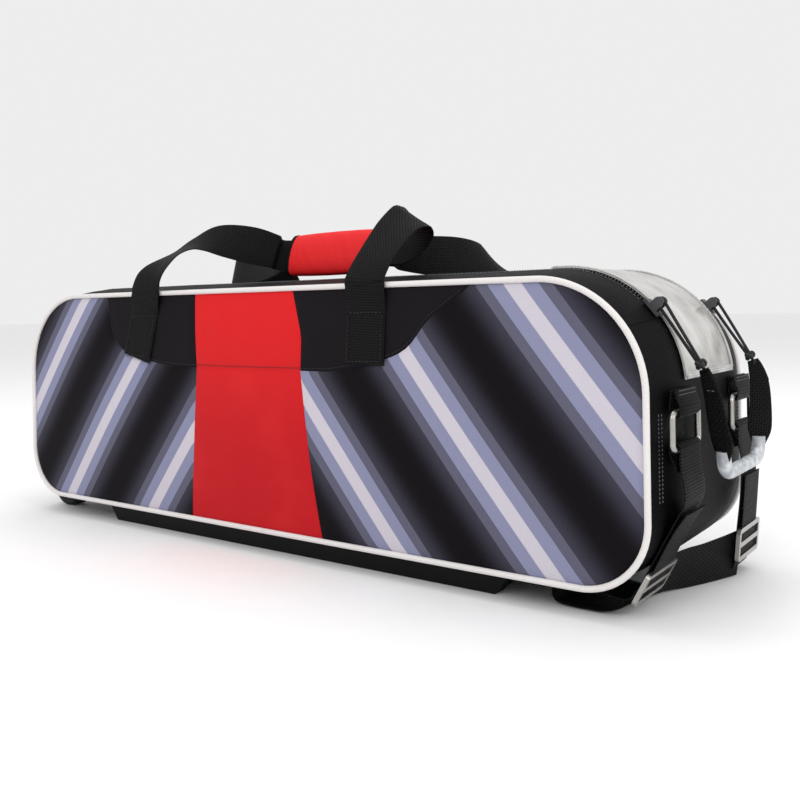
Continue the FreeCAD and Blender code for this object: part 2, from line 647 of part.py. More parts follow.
def ring_and_tab(name, side):
    """The tab sewn to the end panel, and the ring that hangs in its loop."""
    y = side * RING_Y
    save("ring_" + name, ring_loop(RING_X, y, RING_LOW_BAR, RING_TOP_BAR, RING_WIDTH, RING_WIRE))
    low, high = y - TOW_HALF, y + TOW_HALF
    loop = rod_y(LOOP_OUTSIDE, low, high, RING_X, RING_TOP_BAR)
    legs = box((RING_X - LOOP_OUTSIDE, low, RING_TOP_BAR),
               (RING_X + LOOP_OUTSIDE, high, RING_TOP_BAR + TAB_RISE))
    slot = box((RING_X - LOOP_INSIDE, low, RING_TOP_BAR),
               (RING_X + LOOP_INSIDE, high, RING_TOP_BAR + 12))
    tab = fused([loop, legs]).cut(rod_y(LOOP_INSIDE, low, high, RING_X, RING_TOP_BAR)).cut(slot)
    save("ring_tab_" + name, tab)


both_sides(ring_and_tab)

FLOOR_LAYER = 2.4           # middle height of the webbing that lies on the floor
FRONT_FOOT = (368.0, 13.0)
BACK_FOOT = (403.0, 14.0)
LEG_SHOULDER = (410.0, 92.0)


def tow_leg(side, foot):
    """One leg of the tow strap: a loop on the ring, then down to its foot."""
    low, high = side * RING_Y - TOW_HALF, side * RING_Y + TOW_HALF
    loop = rod_y(LOOP_OUTSIDE, low, high, RING_X, RING_LOW_BAR)
    loop = loop.cut(rod_y(LOOP_INSIDE, low, high, RING_X, RING_LOW_BAR))
    neck = (RING_X + 0.6, RING_LOW_BAR - LOOP_OUTSIDE + 0.6)
    return fused([loop, strap_run([neck, (RING_X + 4, 115.0), LEG_SHOULDER, foot],
                                  TOW_THICK, low, high)])


turn_centre = (310.0, 10.2)
turn_radius = turn_centre[1] - FLOOR_LAYER
u_turn = [(turn_centre[0] + turn_radius * math.cos(math.radians(a)),
           turn_centre[1] + turn_radius * math.sin(math.radians(a))) for a in range(90, 271, 30)]
front_low, front_high = -RING_Y - TOW_HALF, -RING_Y + TOW_HALF
under_front = strap_run([FRONT_FOOT, (345.0, 17.0)] + u_turn
                        + [(346.0, FLOOR_LAYER), (358.0, 6.0), (366.0, 11.0)],
                        TOW_THICK, front_low, front_high)
back_low, back_high = RING_Y - TOW_HALF, RING_Y + TOW_HALF
under_back = strap_run([BACK_FOOT, (397.0, 5.0), (390.0, FLOOR_LAYER), (380.0, FLOOR_LAYER)],
                       TOW_THICK, back_low, back_high)

# Between the two feet the strap stands on its edge and leans outward.
CROSSING = [
    ((372.3, -60, 21), (0.47, 0, 0.88), 20),
    ((372.5, -41, 21), (0.47, 0, 0.88), 20),
    ((377.5, -20, 21), (0.45, 0, 0.89), 20),
    ((386, 3, 21), (0.38, 0, 0.92), 20),
    ((395.5, 30, 21), (0.25, 0, 0.97), 20),
    ((403.7, 60, 21), (0.09, 0, 0.996), 20),
]
save("tow_strap", fused([tow_leg(-1, FRONT_FOOT), under_front, webbing(CROSSING), under_back,
                         tow_leg(1, BACK_FOOT)]))

GLIDE_WIDTH = 62.0
GLIDE_TALL = 29.0
GLIDE_THICK = 3.2
GLIDE_BAR = 4.4


def tri_glide(name, side, foot, up_the_strap):
    """A flat frame with a middle bar: the strap passes behind its outer bars."""
    start = V(foot[0], 0, foot[1])
    along = V(LEG_SHOULDER[0], 0, LEG_SHOULDER[1]) - start
    along.normalize()
    normal = V(0, 1, 0).cross(along)
    if normal.x < 0:
        normal = normal * -1
    middle = start + along * up_the_strap + V(0, side * RING_Y, 0)
    clear = TOW_THICK / 2 + 0.5

    def block(half_width, low, high, near, far):
        corner = [middle + along * low + normal * near, middle + along * high + normal * near,
                  middle + along * high + normal * far, middle + along * low + normal * far]
        return prism([point - V(0, half_width, 0) for point in corner], V(0, 2 * half_width, 0))

    half_tall = GLIDE_TALL / 2
    plate = block(GLIDE_WIDTH / 2, -half_tall, half_tall, clear, clear + GLIDE_THICK)
    upright = [edge for edge in plate.Edges
               if abs(abs(edge.tangentAt(edge.FirstParameter).dot(normal)) - 1) < 1e-6]
    plate = plate.makeFillet(5.0, upright)
    for low in (-half_tall + GLIDE_BAR, GLIDE_BAR / 2):
        high = low + half_tall - 1.5 * GLIDE_BAR
        plate = plate.cut(block(GLIDE_WIDTH / 2 - GLIDE_BAR, low, high, 0.0, clear + 2 * GLIDE_THICK))
    save("tri_glide_" + name, plate)
    print("tri-glide", name, "slides along", [round(c, 4) for c in along])


tri_glide("front", -1, FRONT_FOOT, 16.0)
tri_glide("back", 1, BACK_FOOT, 17.0)

total = Part.makeCompound(list(made.values()))
print(len(made), "nodes, box", [round(v, 1) for v in (total.BoundBox.XMin, total.BoundBox.YMin,
      total.BoundBox.ZMin, total.BoundBox.XMax, total.BoundBox.YMax, total.BoundBox.ZMax)])
print("pull pivot", [round(c, 2) for c in pivot])
for name, shape in made.items():
    print(name, len(shape.Solids), round(shape.Volume), round(shape.BoundBox.ZMin, 1))
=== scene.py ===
"""The looks of a rolling bowling bag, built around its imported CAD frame.

Shapes are worked out in millimetres in the frame's axes: +X is the pulling end, -Y the front,
+Z up, z = 0 the floor. Each mesh is scaled to metres when it is made.
"""

import math

import bpy
import numpy as np
from mathutils import Matrix, Vector
from mathutils.geometry import delaunay_2d_cdt


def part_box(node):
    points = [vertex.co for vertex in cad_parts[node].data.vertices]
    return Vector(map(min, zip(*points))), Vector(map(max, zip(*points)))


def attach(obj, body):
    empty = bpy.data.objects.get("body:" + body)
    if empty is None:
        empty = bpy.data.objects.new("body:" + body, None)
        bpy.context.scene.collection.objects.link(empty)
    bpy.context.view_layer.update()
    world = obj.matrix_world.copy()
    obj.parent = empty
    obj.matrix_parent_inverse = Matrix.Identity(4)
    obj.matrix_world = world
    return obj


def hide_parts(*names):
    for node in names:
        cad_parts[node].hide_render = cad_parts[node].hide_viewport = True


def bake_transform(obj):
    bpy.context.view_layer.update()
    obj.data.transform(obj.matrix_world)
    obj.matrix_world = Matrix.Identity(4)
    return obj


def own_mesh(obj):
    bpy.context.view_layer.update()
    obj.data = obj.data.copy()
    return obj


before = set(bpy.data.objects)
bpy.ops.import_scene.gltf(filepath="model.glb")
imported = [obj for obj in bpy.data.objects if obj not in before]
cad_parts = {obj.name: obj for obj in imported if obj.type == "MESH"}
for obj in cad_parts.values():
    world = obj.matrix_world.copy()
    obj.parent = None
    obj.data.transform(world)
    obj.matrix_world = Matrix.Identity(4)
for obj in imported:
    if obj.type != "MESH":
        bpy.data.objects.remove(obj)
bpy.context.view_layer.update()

MM = 0.001

# ---- sizes, from the frame where it has them ----


def box_mm(node):
    """The low and high corners of a CAD node, in millimetres."""
    low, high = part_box(node)
    return np.array(low) / MM, np.array(high) / MM


piping_low, piping_high = box_mm("front_piping")
PIPING = (piping_high[1] - piping_low[1]) / 2
HALF_LENGTH = piping_high[0] - PIPING
HALF_DEPTH = -(piping_low[1] + piping_high[1]) / 2
TOP = piping_high[2] - PIPING
FOOT = piping_low[2] + PIPING
TOP_RADIUS, BOTTOM_RADIUS = 88.0, 55.0
SKIN = 3.0
EDGE = HALF_DEPTH - SKIN
CROWN = 9.0
ZIP_INNER, ZIP_OUTER = 62.3, 65.7
LID_HALF = 61.7
FLAP_HINGE_X = box_mm("lid_main")[1][0]
VINYL_FROM, VINYL_END = 288.0, 85.0
SHOULDER_SEAM, LEFT_SEAM = 55.0, 40.0
RING_X, RING_Y = 404.0, 74.0
RING_TOP_BAR, RING_LOW_BAR = 158.5, 131.5
TOW_HALF = 23.0
PIPING_CORD = 2.6

TOP_CX, TOP_CZ = HALF_LENGTH - TOP_RADIUS, TOP - TOP_RADIUS
LOW_CX, LOW_CZ = HALF_LENGTH - BOTTOM_RADIUS, FOOT + BOTTOM_RADIUS
END_LINE = TOP_CZ - LOW_CZ
QUARTER_TOP, QUARTER_LOW = TOP_RADIUS * math.pi / 2, BOTTOM_RADIUS * math.pi / 2
STRETCH = [LOW_CX, QUARTER_LOW, END_LINE, QUARTER_TOP, 2 * TOP_CX, QUARTER_TOP, END_LINE,
           QUARTER_LOW, LOW_CX]
ROUND_TRIP = sum(STRETCH)
RIGHT_SHOULDER = ROUND_TRIP / 2 + TOP_CX
RIGHT_LINE_END = RIGHT_SHOULDER + QUARTER_TOP + END_LINE


def outline(s):
    """Foot point (x, z) and outward direction of the side panel's outline at a distance s.
    s runs from the bottom's middle by way of the left end, over the top, to the right end."""
    s = s % ROUND_TRIP
    if s < STRETCH[0]:
        return -s, FOOT, 0.0, -1.0
    s -= STRETCH[0]
    arcs = {1: (-LOW_CX, LOW_CZ, BOTTOM_RADIUS, 180), 3: (-TOP_CX, TOP_CZ, TOP_RADIUS, 270),
            5: (TOP_CX, TOP_CZ, TOP_RADIUS, 0), 7: (LOW_CX, LOW_CZ, BOTTOM_RADIUS, 90)}
    lines = {2: (-HALF_LENGTH, LOW_CZ, 0, 1, -1, 0), 4: (-TOP_CX, TOP, 1, 0, 0, 1),
             6: (HALF_LENGTH, TOP_CZ, 0, -1, 1, 0), 8: (LOW_CX, FOOT, -1, 0, 0, -1)}
    for i in range(1, 9):
        if s <= STRETCH[i] or i == 8:
            break
        s -= STRETCH[i]
    if i in arcs:
        cx, cz, radius, first = arcs[i]
        turn = math.radians(first) + s / radius
        nx, nz = math.sin(turn), math.cos(turn)
        return cx + radius * nx, cz + radius * nz, nx, nz
    x, z, dx, dz, nx, nz = lines[i]
    return x + dx * s, z + dz * s, nx, nz


def on_top(x):
    return ROUND_TRIP / 2 + x


def on_right_shoulder(degrees):
    return RIGHT_SHOULDER + TOP_RADIUS * math.radians(degrees)


def on_left_shoulder(degrees):
    return ROUND_TRIP - on_right_shoulder(degrees)


def over(s, y, out):
    """A point standing out from the outline."""
    x, z, nx, nz = outline(s)
    return (x + nx * out, y, z + nz * out)


def step(low, high, value):
    """A smooth step from 0 at low to 1 at high."""
    t = np.clip((value - low) / (high - low), 0, 1)
    return t * t * (3 - 2 * t)


# ---- making meshes ----

def piece(name, verts, faces, material, body, node=None, slot=None, uv=None, crease=40):
    """A mesh piece in the row frame, riding on a body and standing for CAD nodes."""
    mesh = bpy.data.meshes.new(name)
    mesh.from_pydata([tuple(float(c) * MM for c in v) for v in verts], [], faces)
    mesh.validate()
    if uv is not None:
        layer = mesh.uv_layers.new(name="cloth")
        flat = np.array(uv, float)
        loops = np.zeros(len(mesh.loops), int)
        mesh.loops.foreach_get("vertex_index", loops)
        layer.data.foreach_set("uv", (flat[loops] * MM).ravel())
    mesh.polygons.foreach_set("use_smooth", [True] * len(mesh.polygons))
    mesh.set_sharp_from_angle(angle=math.radians(crease))
    mesh.materials.append(material)
    obj = bpy.data.objects.new(name, mesh)
    bpy.context.scene.collection.objects.link(obj)
    if body:
        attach(obj, body)
    if node:
        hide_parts(*([node] if isinstance(node, str) else node))
    return obj


def slab_data(outer, inner):
    """Vertices, faces and cloth coordinates of the closed sheet between two grids of points."""
    outer, inner = np.array(outer, float), np.array(inner, float)
    n, m = outer.shape[:2]
    verts = np.concatenate([outer.reshape(-1, 3), inner.reshape(-1, 3)])
    lift = n * m
    faces = []
    for i in range(n - 1):
        for j in range(m - 1):
            a, b, c, d = i * m + j, (i + 1) * m + j, (i + 1) * m + j + 1, i * m + j + 1
            faces.append((a, b, c, d))
            faces.append((lift + d, lift + c, lift + b, lift + a))
    rim = [i * m for i in range(n)] + [(n - 1) * m + j for j in range(1, m)]
    rim += [i * m + m - 1 for i in range(n - 2, -1, -1)] + [j for j in range(m - 2, 0, -1)]
    for k in range(len(rim)):
        a, b = rim[k], rim[(k + 1) % len(rim)]
        faces.append((b, a, lift + a, lift + b))
    step_along = np.linalg.norm(np.diff(outer, axis=0), axis=2).mean(1)
    step_across = np.linalg.norm(np.diff(outer, axis=1), axis=2).mean(0)
    along = np.concatenate([[0], np.cumsum(step_along)])
    across = np.concatenate([[0], np.cumsum(step_across)])
    grid = np.stack(np.meshgrid(along, across, indexing="ij"), -1).reshape(-1, 2)
    return verts, faces, np.concatenate([grid, grid])


def slab(name, outer, inner, material, body, **rest):
    """One closed sheet as a piece."""
    verts, faces, uv = slab_data(outer, inner)
    return piece(name, verts, faces, material, body, uv=uv, **rest)


def tube_data(path, radius, sides=12, closed=False, up=None):
    """A round tube along points, with vertices, faces and cloth coordinates."""
    path = np.array(path, float)
    n = len(path)
    tangents = np.roll(path, -1, 0) - np.roll(path, 1, 0)
    if not closed:
        tangents[0], tangents[-1] = path[1] - path[0], path[-1] - path[-2]
    tangents /= np.linalg.norm(tangents, axis=1)[:, None]
    side = np.cross(tangents[0], up if up is not None else (0.0, 1.0, 0.0))
    if np.linalg.norm(side) < 1e-3:
        side = np.cross(tangents[0], (1.0, 0.0, 0.0))
    radii = np.broadcast_to(np.array(radius, float), (n,))
    verts, uv = [], []
    run = 0.0
    for i in range(n):
        if i:
            run += np.linalg.norm(path[i] - path[i - 1])
        side = side - tangents[i] * np.dot(side, tangents[i])
        side /= np.linalg.norm(side)
        other = np.cross(tangents[i], side)
        for k in range(sides):
            a = 2 * math.pi * k / sides
            verts.append(path[i] + radii[i] * (side * math.cos(a) + other * math.sin(a)))
            uv.append((run, radii[i] * a))
    faces = []
    for i in range(n if closed else n - 1):
        for k in range(sides):
            a, b = i * sides + k, i * sides + (k + 1) % sides
            c, d = ((i + 1) % n) * sides + (k + 1) % sides, ((i + 1) % n) * sides + k
            faces.append((a, b, c, d))
    if not closed:
        faces.append(tuple(range(sides)))
        faces.append(tuple(range((n - 1) * sides, n * sides))[::-1])
    faces = [tuple(reversed(f)) for f in faces]
    return verts, faces, uv


def joined(parts):
    """One set of mesh data from several."""
    verts, faces, uv = [], [], []
    for v, f, u in parts:
        lift = len(verts)
        verts += [tuple(p) for p in v]
        uv += [tuple(p) for p in u]
        faces += [tuple(i + lift for i in face) for face in f]
    return verts, faces, uv


def tube(name, path, radius, material, body, sides=12, closed=False, **rest):
    """One tube as a piece."""
    verts, faces, uv = tube_data(path, radius, sides, closed)
    return piece(name, verts, faces, material, body, uv=uv, crease=60, **rest)


def smooth_path(points, per_run=8):
    """A Catmull-Rom curve through rows of numbers."""
    p = np.array(points, float)
    p = np.vstack([2 * p[0] - p[1], p, 2 * p[-1] - p[-2]])
    out = []
    for i in range(1, len(p) - 2):
        for t in np.linspace(0, 1, per_run, endpoint=False):
            a, b, c, d = p[i - 1], p[i], p[i + 1], p[i + 2]
            out.append(0.5 * (2 * b + (c - a) * t + (2 * a - 5 * b + 4 * c - d) * t * t
                              + (3 * b - a - 3 * c + d) * t ** 3))
    out.append(p[-2])
    return np.array(out)


def ribbon_data(stations, thick, per_run=8, across=9, cup=0.0):
    """A webbing strip through (middle, direction across, half width) stations."""
    rows = smooth_path([list(m) + list(w) + [h] for m, w, h in stations], per_run)
    middles, ways, halves = rows[:, :3], rows[:, 3:6], rows[:, 6]
    tangents = np.gradient(middles, axis=0)
    tangents /= np.linalg.norm(tangents, axis=1)[:, None]
    ways = ways - tangents * (ways * tangents).sum(1)[:, None]
    ways /= np.linalg.norm(ways, axis=1)[:, None]
    normals = np.cross(tangents, ways)
    grid_out, grid_in = [], []
    for i in range(len(rows)):
        line_out, line_in = [], []
        for t in np.linspace(-1, 1, across):
            edge = 1 - 0.55 * abs(t) ** 8
            place = middles[i] + ways[i] * halves[i] * t + normals[i] * cup * (t * t - 0.4)
            line_out.append(place + normals[i] * thick / 2 * edge)
            line_in.append(place - normals[i] * thick / 2 * edge)
        grid_out.append(line_out)
        grid_in.append(line_in)
    return slab_data(grid_out, grid_in)


def thread_run(points, normal, length=2.6, gap=1.5, radius=0.38):
    """Raised stitches along a line of points on a surface."""
    points = np.array(points, float)
    lengths = np.concatenate([[0], np.cumsum(np.linalg.norm(np.diff(points, axis=0), axis=1))])
    parts, s = [], gap
    normal = np.array(normal, float)
    while s + length < lengths[-1]:
        ends = [np.array([np.interp(t, lengths, points[:, k]) for k in range(3)])
                for t in (s, s + length * 0.25, s + length * 0.75, s + length)]
        lift = [0.0, 0.55, 0.55, 0.0]
        rows = [e + normal * h * radius * 1.6 for e, h in zip(ends, lift)]
        parts.append(tube_data(rows, [radius * 0.6, radius, radius, radius * 0.6], 6))
        s += length + gap
    return parts


# ---- materials ----

class Value:
    """A number in a material: arithmetic on it makes Math nodes."""

    def __init__(self, net, socket):
        self.net, self.socket = net, socket

    def op(self, name, *others):
        node = self.net.new("ShaderNodeMath")
        node.operation = name
        for i, item in enumerate((self,) + others):
            if isinstance(item, Value):
                self.net.tree.links.new(item.socket, node.inputs[i])
            else:
                node.inputs[i].default_value = float(item)
        return Value(self.net, node.outputs[0])

    def __add__(self, other):
        return self.op("ADD", other)

    __radd__ = __add__

    def __sub__(self, other):
        return self.op("SUBTRACT", other)

    def __mul__(self, other):
        return self.op("MULTIPLY", other)

    __rmul__ = __mul__

    def __rsub__(self, other):
        return (self * -1.0) + other

    def step(self, low, high):
        """A smooth step from 0 at low to 1 at high."""
        node = self.net.new("ShaderNodeMapRange")
        node.interpolation_type = "SMOOTHSTEP"
        self.net.tree.links.new(self.socket, node.inputs["Value"])
        turned = low > high
        node.inputs["From Min"].default_value = min(low, high)
        node.inputs["From Max"].default_value = max(low, high)
        node.inputs["To Min"].default_value = 1.0 if turned else 0.0
        node.inputs["To Max"].default_value = 0.0 if turned else 1.0
        return Value(self.net, node.outputs["Result"])


class Net:
    """A procedural material under construction."""

    def __init__(self, name, color, rough=0.6, metal=0.0, specular=0.5, sheen=0.0, alpha=1.0):
        self.material = bpy.data.materials.new(name)
        self.material.use_nodes = True
        self.tree = self.material.node_tree
        self.shader = self.tree.nodes["Principled BSDF"]
        put = self.shader.inputs
        put["Base Color"].default_value = (*color, 1)
        put["Roughness"].default_value = rough
        put["Metallic"].default_value = metal
        put["Specular IOR Level"].default_value = specular
        put["Sheen Weight"].default_value = sheen
        put["Sheen Roughness"].default_value = 0.4
        put["Alpha"].default_value = alpha
        self.place = self.new("ShaderNodeTexCoord")

    def new(self, kind):
        return self.tree.nodes.new(kind)

    def parts(self, output, scale=1.0):
        """The separate numbers of a coordinate, scaled."""
        split = self.new("ShaderNodeSeparateXYZ")
        self.tree.links.new(self.place.outputs[output], split.inputs[0])
        return [Value(self, split.outputs[i]) * scale for i in range(3)]

    def lining(self):
        """1 on the face of a side panel that looks into the bag, 0 on its outside."""
        return (self.parts("Object", 1000.0)[1] * self.parts("Normal")[1]).step(2.0, -2.0)

    def noise(self, scale, detail=3.0, rough=0.5, stretch=None):
        node = self.new("ShaderNodeTexNoise")
        node.inputs["Scale"].default_value = scale
        node.inputs["Detail"].default_value = detail
        node.inputs["Roughness"].default_value = rough
        source = self.place.outputs["Object"]
        if stretch:
            mapping = self.new("ShaderNodeMapping")
            mapping.inputs["Scale"].default_value = stretch
            self.tree.links.new(source, mapping.inputs[0])
            source = mapping.outputs[0]
        self.tree.links.new(source, node.inputs["Vector"])
        return Value(self, node.outputs["Fac"])

    def mix(self, share, first, second):
        """Mixes two colours; each is a socket or three numbers."""
        node = self.new("ShaderNodeMix")
        node.data_type = "RGBA"
        for index, item in ((6, first), (7, second)):
            if isinstance(item, tuple):
                node.inputs[index].default_value = (*item, 1)
            else:
                self.tree.links.new(item, node.inputs[index])
        if isinstance(share, Value):
            self.tree.links.new(share.socket, node.inputs[0])
        else:
            node.inputs[0].default_value = share
        return node.outputs[2]

    def color(self, socket):
        self.tree.links.new(socket, self.shader.inputs["Base Color"])

    def roughness(self, value):
        self.tree.links.new(value.socket, self.shader.inputs["Roughness"])

    def bump(self, value, strength, distance):
        node = self.new("ShaderNodeBump")
        node.inputs["Strength"].default_value = strength
        node.inputs["Distance"].default_value = distance
        self.tree.links.new(value.socket, node.inputs["Height"])
        self.tree.links.new(node.outputs[0], self.shader.inputs["Normal"])


def weave_height(net, pitch_u, pitch_v):
    """Plain weave: round threads that pass over and under each other, from cloth coordinates."""
    u, v = net.parts("UV", 1000.0)[:2]
    wave_u = (u * (math.pi / pitch_u)).op("SINE")
    wave_v = (v * (math.pi / pitch_v)).op("SINE")
    over_thread = (wave_u * wave_v).op("GREATER_THAN", 0.0)
    warp = wave_v.op("ABSOLUTE")
    weft = wave_u.op("ABSOLUTE")
    return weft + over_thread * (warp - weft)


def shaded(color, factor):
    """A lighter or darker version of a colour."""
    return tuple(min(1.0, c * factor) for c in color)


def cloth(name, color, pitch, rough=0.75, sheen=0.1, depth=0.00025, contrast=0.35, bump=0.5,
          blotch=0.12, pitch_v=None, specular=0.2):
    """Woven cloth of one colour, with painted highlight on the thread crowns, painted shade between the
    threads, and faint uneven dye.
    """
    net = Net(name, color, rough=rough, sheen=sheen, specular=specular)
    height = weave_height(net, pitch, pitch_v or pitch)
    # Painted light: the weave's height makes the thread crowns lighter (painted highlight) and the gaps
    # between threads darker (painted shade).
    base = net.mix(height, shaded(color, 1 - contrast), shaded(color, 1 + contrast))
    worn = net.noise(9.0, 4.0, 0.6)
    base = net.mix(worn.step(0.35, 0.75) * blotch, base, shaded(color, 1.9))
    net.color(base)
    net.roughness(height * -0.12 + (rough + 0.06))
    net.bump(height, bump, depth)
    return net.material


def plastic(name, color, rough=0.45, grain=900.0, bump=0.15, specular=0.5, wear=0.1, depth=0.0002):
    """Moulded plastic with a fine grain and slight wear."""
    net = Net(name, color, rough=rough, specular=specular)
    fine = net.noise(grain, 2.0)
    broad = net.noise(14.0, 4.0, 0.6)
    net.color(net.mix(broad.step(0.45, 0.75) * wear, color, shaded(color, 2.4)))
    net.roughness(broad * 0.2 + (rough - 0.08))
    net.bump(fine, bump, depth)
    return net.material


def metal(name, color, rough=0.25):
    """Plated metal with fine brush marks."""
    net = Net(name, color, rough=rough, metal=1.0)
    marks = net.noise(220.0, 3.0, 0.6, stretch=(1.0, 0.15, 1.0))
    net.roughness(marks * 0.25 + (rough - 0.08))
    spots = net.noise(60.0, 3.0)
    net.color(net.mix(spots.step(0.5, 0.8) * 0.35, color, shaded(color, 0.55)))
    net.bump(marks, 0.08, 0.0002)
    return net.material


ballistic = cloth("ballistic_black", (0.0050, 0.0046, 0.0052), 1.6, rough=0.55, sheen=0.0, contrast=0.6,
                  specular=0.045)
webbing_black = cloth("webbing_black", (0.0060, 0.0057, 0.0058), 2.4, rough=0.55, sheen=0.0, depth=0.0007,
                      contrast=0.85, bump=1.0, pitch_v=1.6, specular=0.07)
lining = cloth("lining_grey", (0.03, 0.03, 0.033), 1.0, rough=0.8, sheen=0.1)
yoke_cloth = cloth("yoke_plum_black", (0.0085, 0.0068, 0.0092), 1.2, rough=0.6, sheen=0.0, contrast=0.4,
                   specular=0.05)
red_grip = cloth("grip_red", (0.70, 0.012, 0.015), 1.2, rough=0.6, sheen=0.0, contrast=0.14, bump=0.3,
                 blotch=0.05)
thread_black = cloth("thread_black", (0.02, 0.02, 0.022), 0.5, contrast=0.3)
thread_grey = cloth("thread_grey", (0.12, 0.12, 0.13), 0.5, contrast=0.3)
thread_white = cloth("thread_white", (0.62, 0.62, 0.62), 0.5, contrast=0.2)
cord_black = cloth("cord_black", (0.012, 0.012, 0.013), 1.6, rough=0.6, sheen=0.2, depth=0.0004,
                   contrast=0.5, bump=0.8)
foam_grey = cloth("foam_grey", (0.07, 0.07, 0.075), 1.4, rough=0.85, contrast=0.15)
moulded = plastic("moulded_black", (0.005, 0.005, 0.0055), rough=0.5, specular=0.12)
tyre_black = plastic("tyre_black", (0.006, 0.006, 0.006), rough=0.65, wear=0.25, specular=0.3)
hub_grey = plastic("hub_grey", (0.06, 0.06, 0.065), rough=0.4)
coil_black = plastic("zip_coil_black", (0.010, 0.010, 0.0105), rough=0.35, specular=0.4)
nickel = metal("nickel", (0.40, 0.385, 0.365))
dark_metal = metal("dark_nickel", (0.10, 0.10, 0.105), rough=0.35)
steel = metal("zinc_steel", (0.55, 0.56, 0.58), rough=0.35)


def vinyl_material():
    """Milky clear vinyl."""
    net = Net("milky_vinyl", (0.60, 0.59, 0.57), rough=0.16, specular=0.6, alpha=0.80)
    waves = net.noise(26.0, 3.0, 0.5)
    net.color(net.mix(waves.step(0.3, 0.75), (0.40, 0.39, 0.37), (0.72, 0.71, 0.69)))
    net.roughness(waves * 0.18 + 0.06)
    net.bump(waves, 0.35, 0.002)
    return net.material


def clear_tube_material():
    """Clear plastic tube with faint streaks."""
    net = Net("clear_tube", (0.74, 0.78, 0.80), rough=0.12, specular=0.7, alpha=0.66)
    streaks = net.noise(120.0, 2.0)
    net.color(net.mix(streaks.step(0.3, 0.8), (0.45, 0.48, 0.52), (0.86, 0.90, 0.92)))
    net.bump(streaks, 0.15, 0.0008)
    return net.material


LINING = (0.007, 0.007, 0.008)


def red_stripe_material():
    """Red with painted light: brighter at the top and deepening into painted shade towards the foot, with
    patches of painted highlight.
    """
    net = Net("stripe_red", (0.65, 0.012, 0.016), rough=0.62, sheen=0.0, specular=0.12)
    x, y, z = net.parts("Object", 1000.0)
    height = weave_height(net, 1.2, 1.2)
    # Painted light: the red is lit brighter at the top and fades into painted shade towards the foot.
    base = net.mix(z.step(70.0, 250.0), (0.50, 0.0080, 0.0130), (0.70, 0.0135, 0.0160))
    base = net.mix(height * 0.16, base, (0.28, 0.004, 0.006))
    # Painted highlight: lighter red patches stand in for light catching the folds of the cloth.
    folds = net.noise(12.0, 3.0)
    base = net.mix(folds.step(0.5, 0.8) * 0.25, base, (0.80, 0.035, 0.032))
    net.color(net.mix(net.lining(), base, LINING))
    net.bump(height, 0.35, 0.0002)
    return net.material


INK = (0.0060, 0.0046, 0.0062)
SLATE = (0.052, 0.050, 0.070)
GREY = (0.125, 0.125, 0.180)
MIST = (0.270, 0.280, 0.420)
PALE = (0.640, 0.600, 0.670)
BAND_PITCH = 150.0      # length along the bag from one slanting band to the next
BAND_SLANT = 0.8        # how far a band leans along the bag for each unit of height


def print_material():
    """A plain generic print: even slanting bands, the same on both sides of the middle."""
    net = Net("slanting_bands", (0.10, 0.10, 0.13), rough=0.6, sheen=0.0, specular=0.05)
    x, y, z = net.parts("Object", 1000.0)
    place = x.op("ABSOLUTE") + z * BAND_SLANT
    wave = (place * (2 * math.pi / BAND_PITCH)).op("SINE")
    base = net.mix(wave.step(-1.0, 0.2), INK, SLATE)
    base = net.mix(wave.step(0.10, 0.14), base, GREY)
    base = net.mix(wave.step(0.55, 0.58), base, MIST)
    base = net.mix(wave.step(0.93, 0.95), base, PALE)
    height = weave_height(net, 1.1, 1.1)
    net.color(net.mix(net.lining(), net.mix(height * 0.2, base, INK), LINING))
    net.bump(height, 0.35, 0.0002)
    return net.material


def piping_material():
    """Off-white ribbed tape over a cord, a little soiled."""
    net = Net("piping_off_white", (0.72, 0.69, 0.68), rough=0.45, specular=0.3)
    u, v = net.parts("UV", 1000.0)[:2]
    rib = (u * (2 * math.pi / 1.5)).op("SINE")
    soil = net.noise(18.0, 4.0, 0.6)
    base = net.mix(rib.step(-1.0, 1.0) * 0.25, (0.76, 0.73, 0.72), (0.52, 0.49, 0.48))
    net.color(net.mix(soil.step(0.5, 0.8) * 0.25, base, (0.50, 0.46, 0.44)))
    net.bump(rib, 0.4, 0.0002)
    return net.material


milky_vinyl = vinyl_material()
piping_white = piping_material()
clear_tube = clear_tube_material()
stripe_red = red_stripe_material()
print_cloth = print_material()


# ---- side panels ----

YOKE = [(-242, 257), (-220, 204), (-159, 186), (-87, 182), (59, 182), (102, 184), (170, 200),
        (202, 230), (243, 257)]
SEAM_Z = 182.0


BELLY, BALL_BULGE = 2.6, 1.6            # how far the cloth stands out, and what each ball adds
BALL_XS, BALL_Z = (-257, 0, 257), 140    # where the three balls press on the cloth
BULGE_WIDTH, BULGE_HEIGHT = 85.0, 70.0


def belly(x, z):
    """How far a stuffed side panel stands out of its flat plane."""
    across = 1 - np.clip(np.abs(x) / HALF_LENGTH, 0, 1) ** 5
    up = 1 - np.clip(np.abs(z - (TOP + FOOT) / 2) / ((TOP - FOOT) / 2), 0, 1) ** 3
    balls = sum(np.exp(-(((x - c) / BULGE_WIDTH) ** 2 + ((z - BALL_Z) / BULGE_HEIGHT) ** 2))
                for c in BALL_XS)
    return BELLY * np.clip(across, 0, 1) * np.clip(up, 0, 1) + BALL_BULGE * balls


def seam_distance(points, loop):
    """Distance of each point from a closed line."""
    a, b = loop, np.roll(loop, -1, 0)
    best = np.full(len(points), 1e9)
    for p, q in zip(a, b):
        run = q - p
        t = np.clip(((points - p) @ run) / max(run @ run, 1e-9), 0, 1)
        best = np.minimum(best, np.linalg.norm(points - (p + t[:, None] * run), axis=1))
    return best


def inside(points, loop):
    x, z = points[:, 0], points[:, 1]
    odd = np.zeros(len(points), bool)
    for (x0, z0), (x1, z1) in zip(loop, np.roll(loop, -1, 0)):
        if z0 == z1:
            continue
        crosses = (z0 > z) != (z1 > z)
        odd ^= crosses & (x < (x1 - x0) * (z - z0) / (z1 - z0) + x0)
    return odd


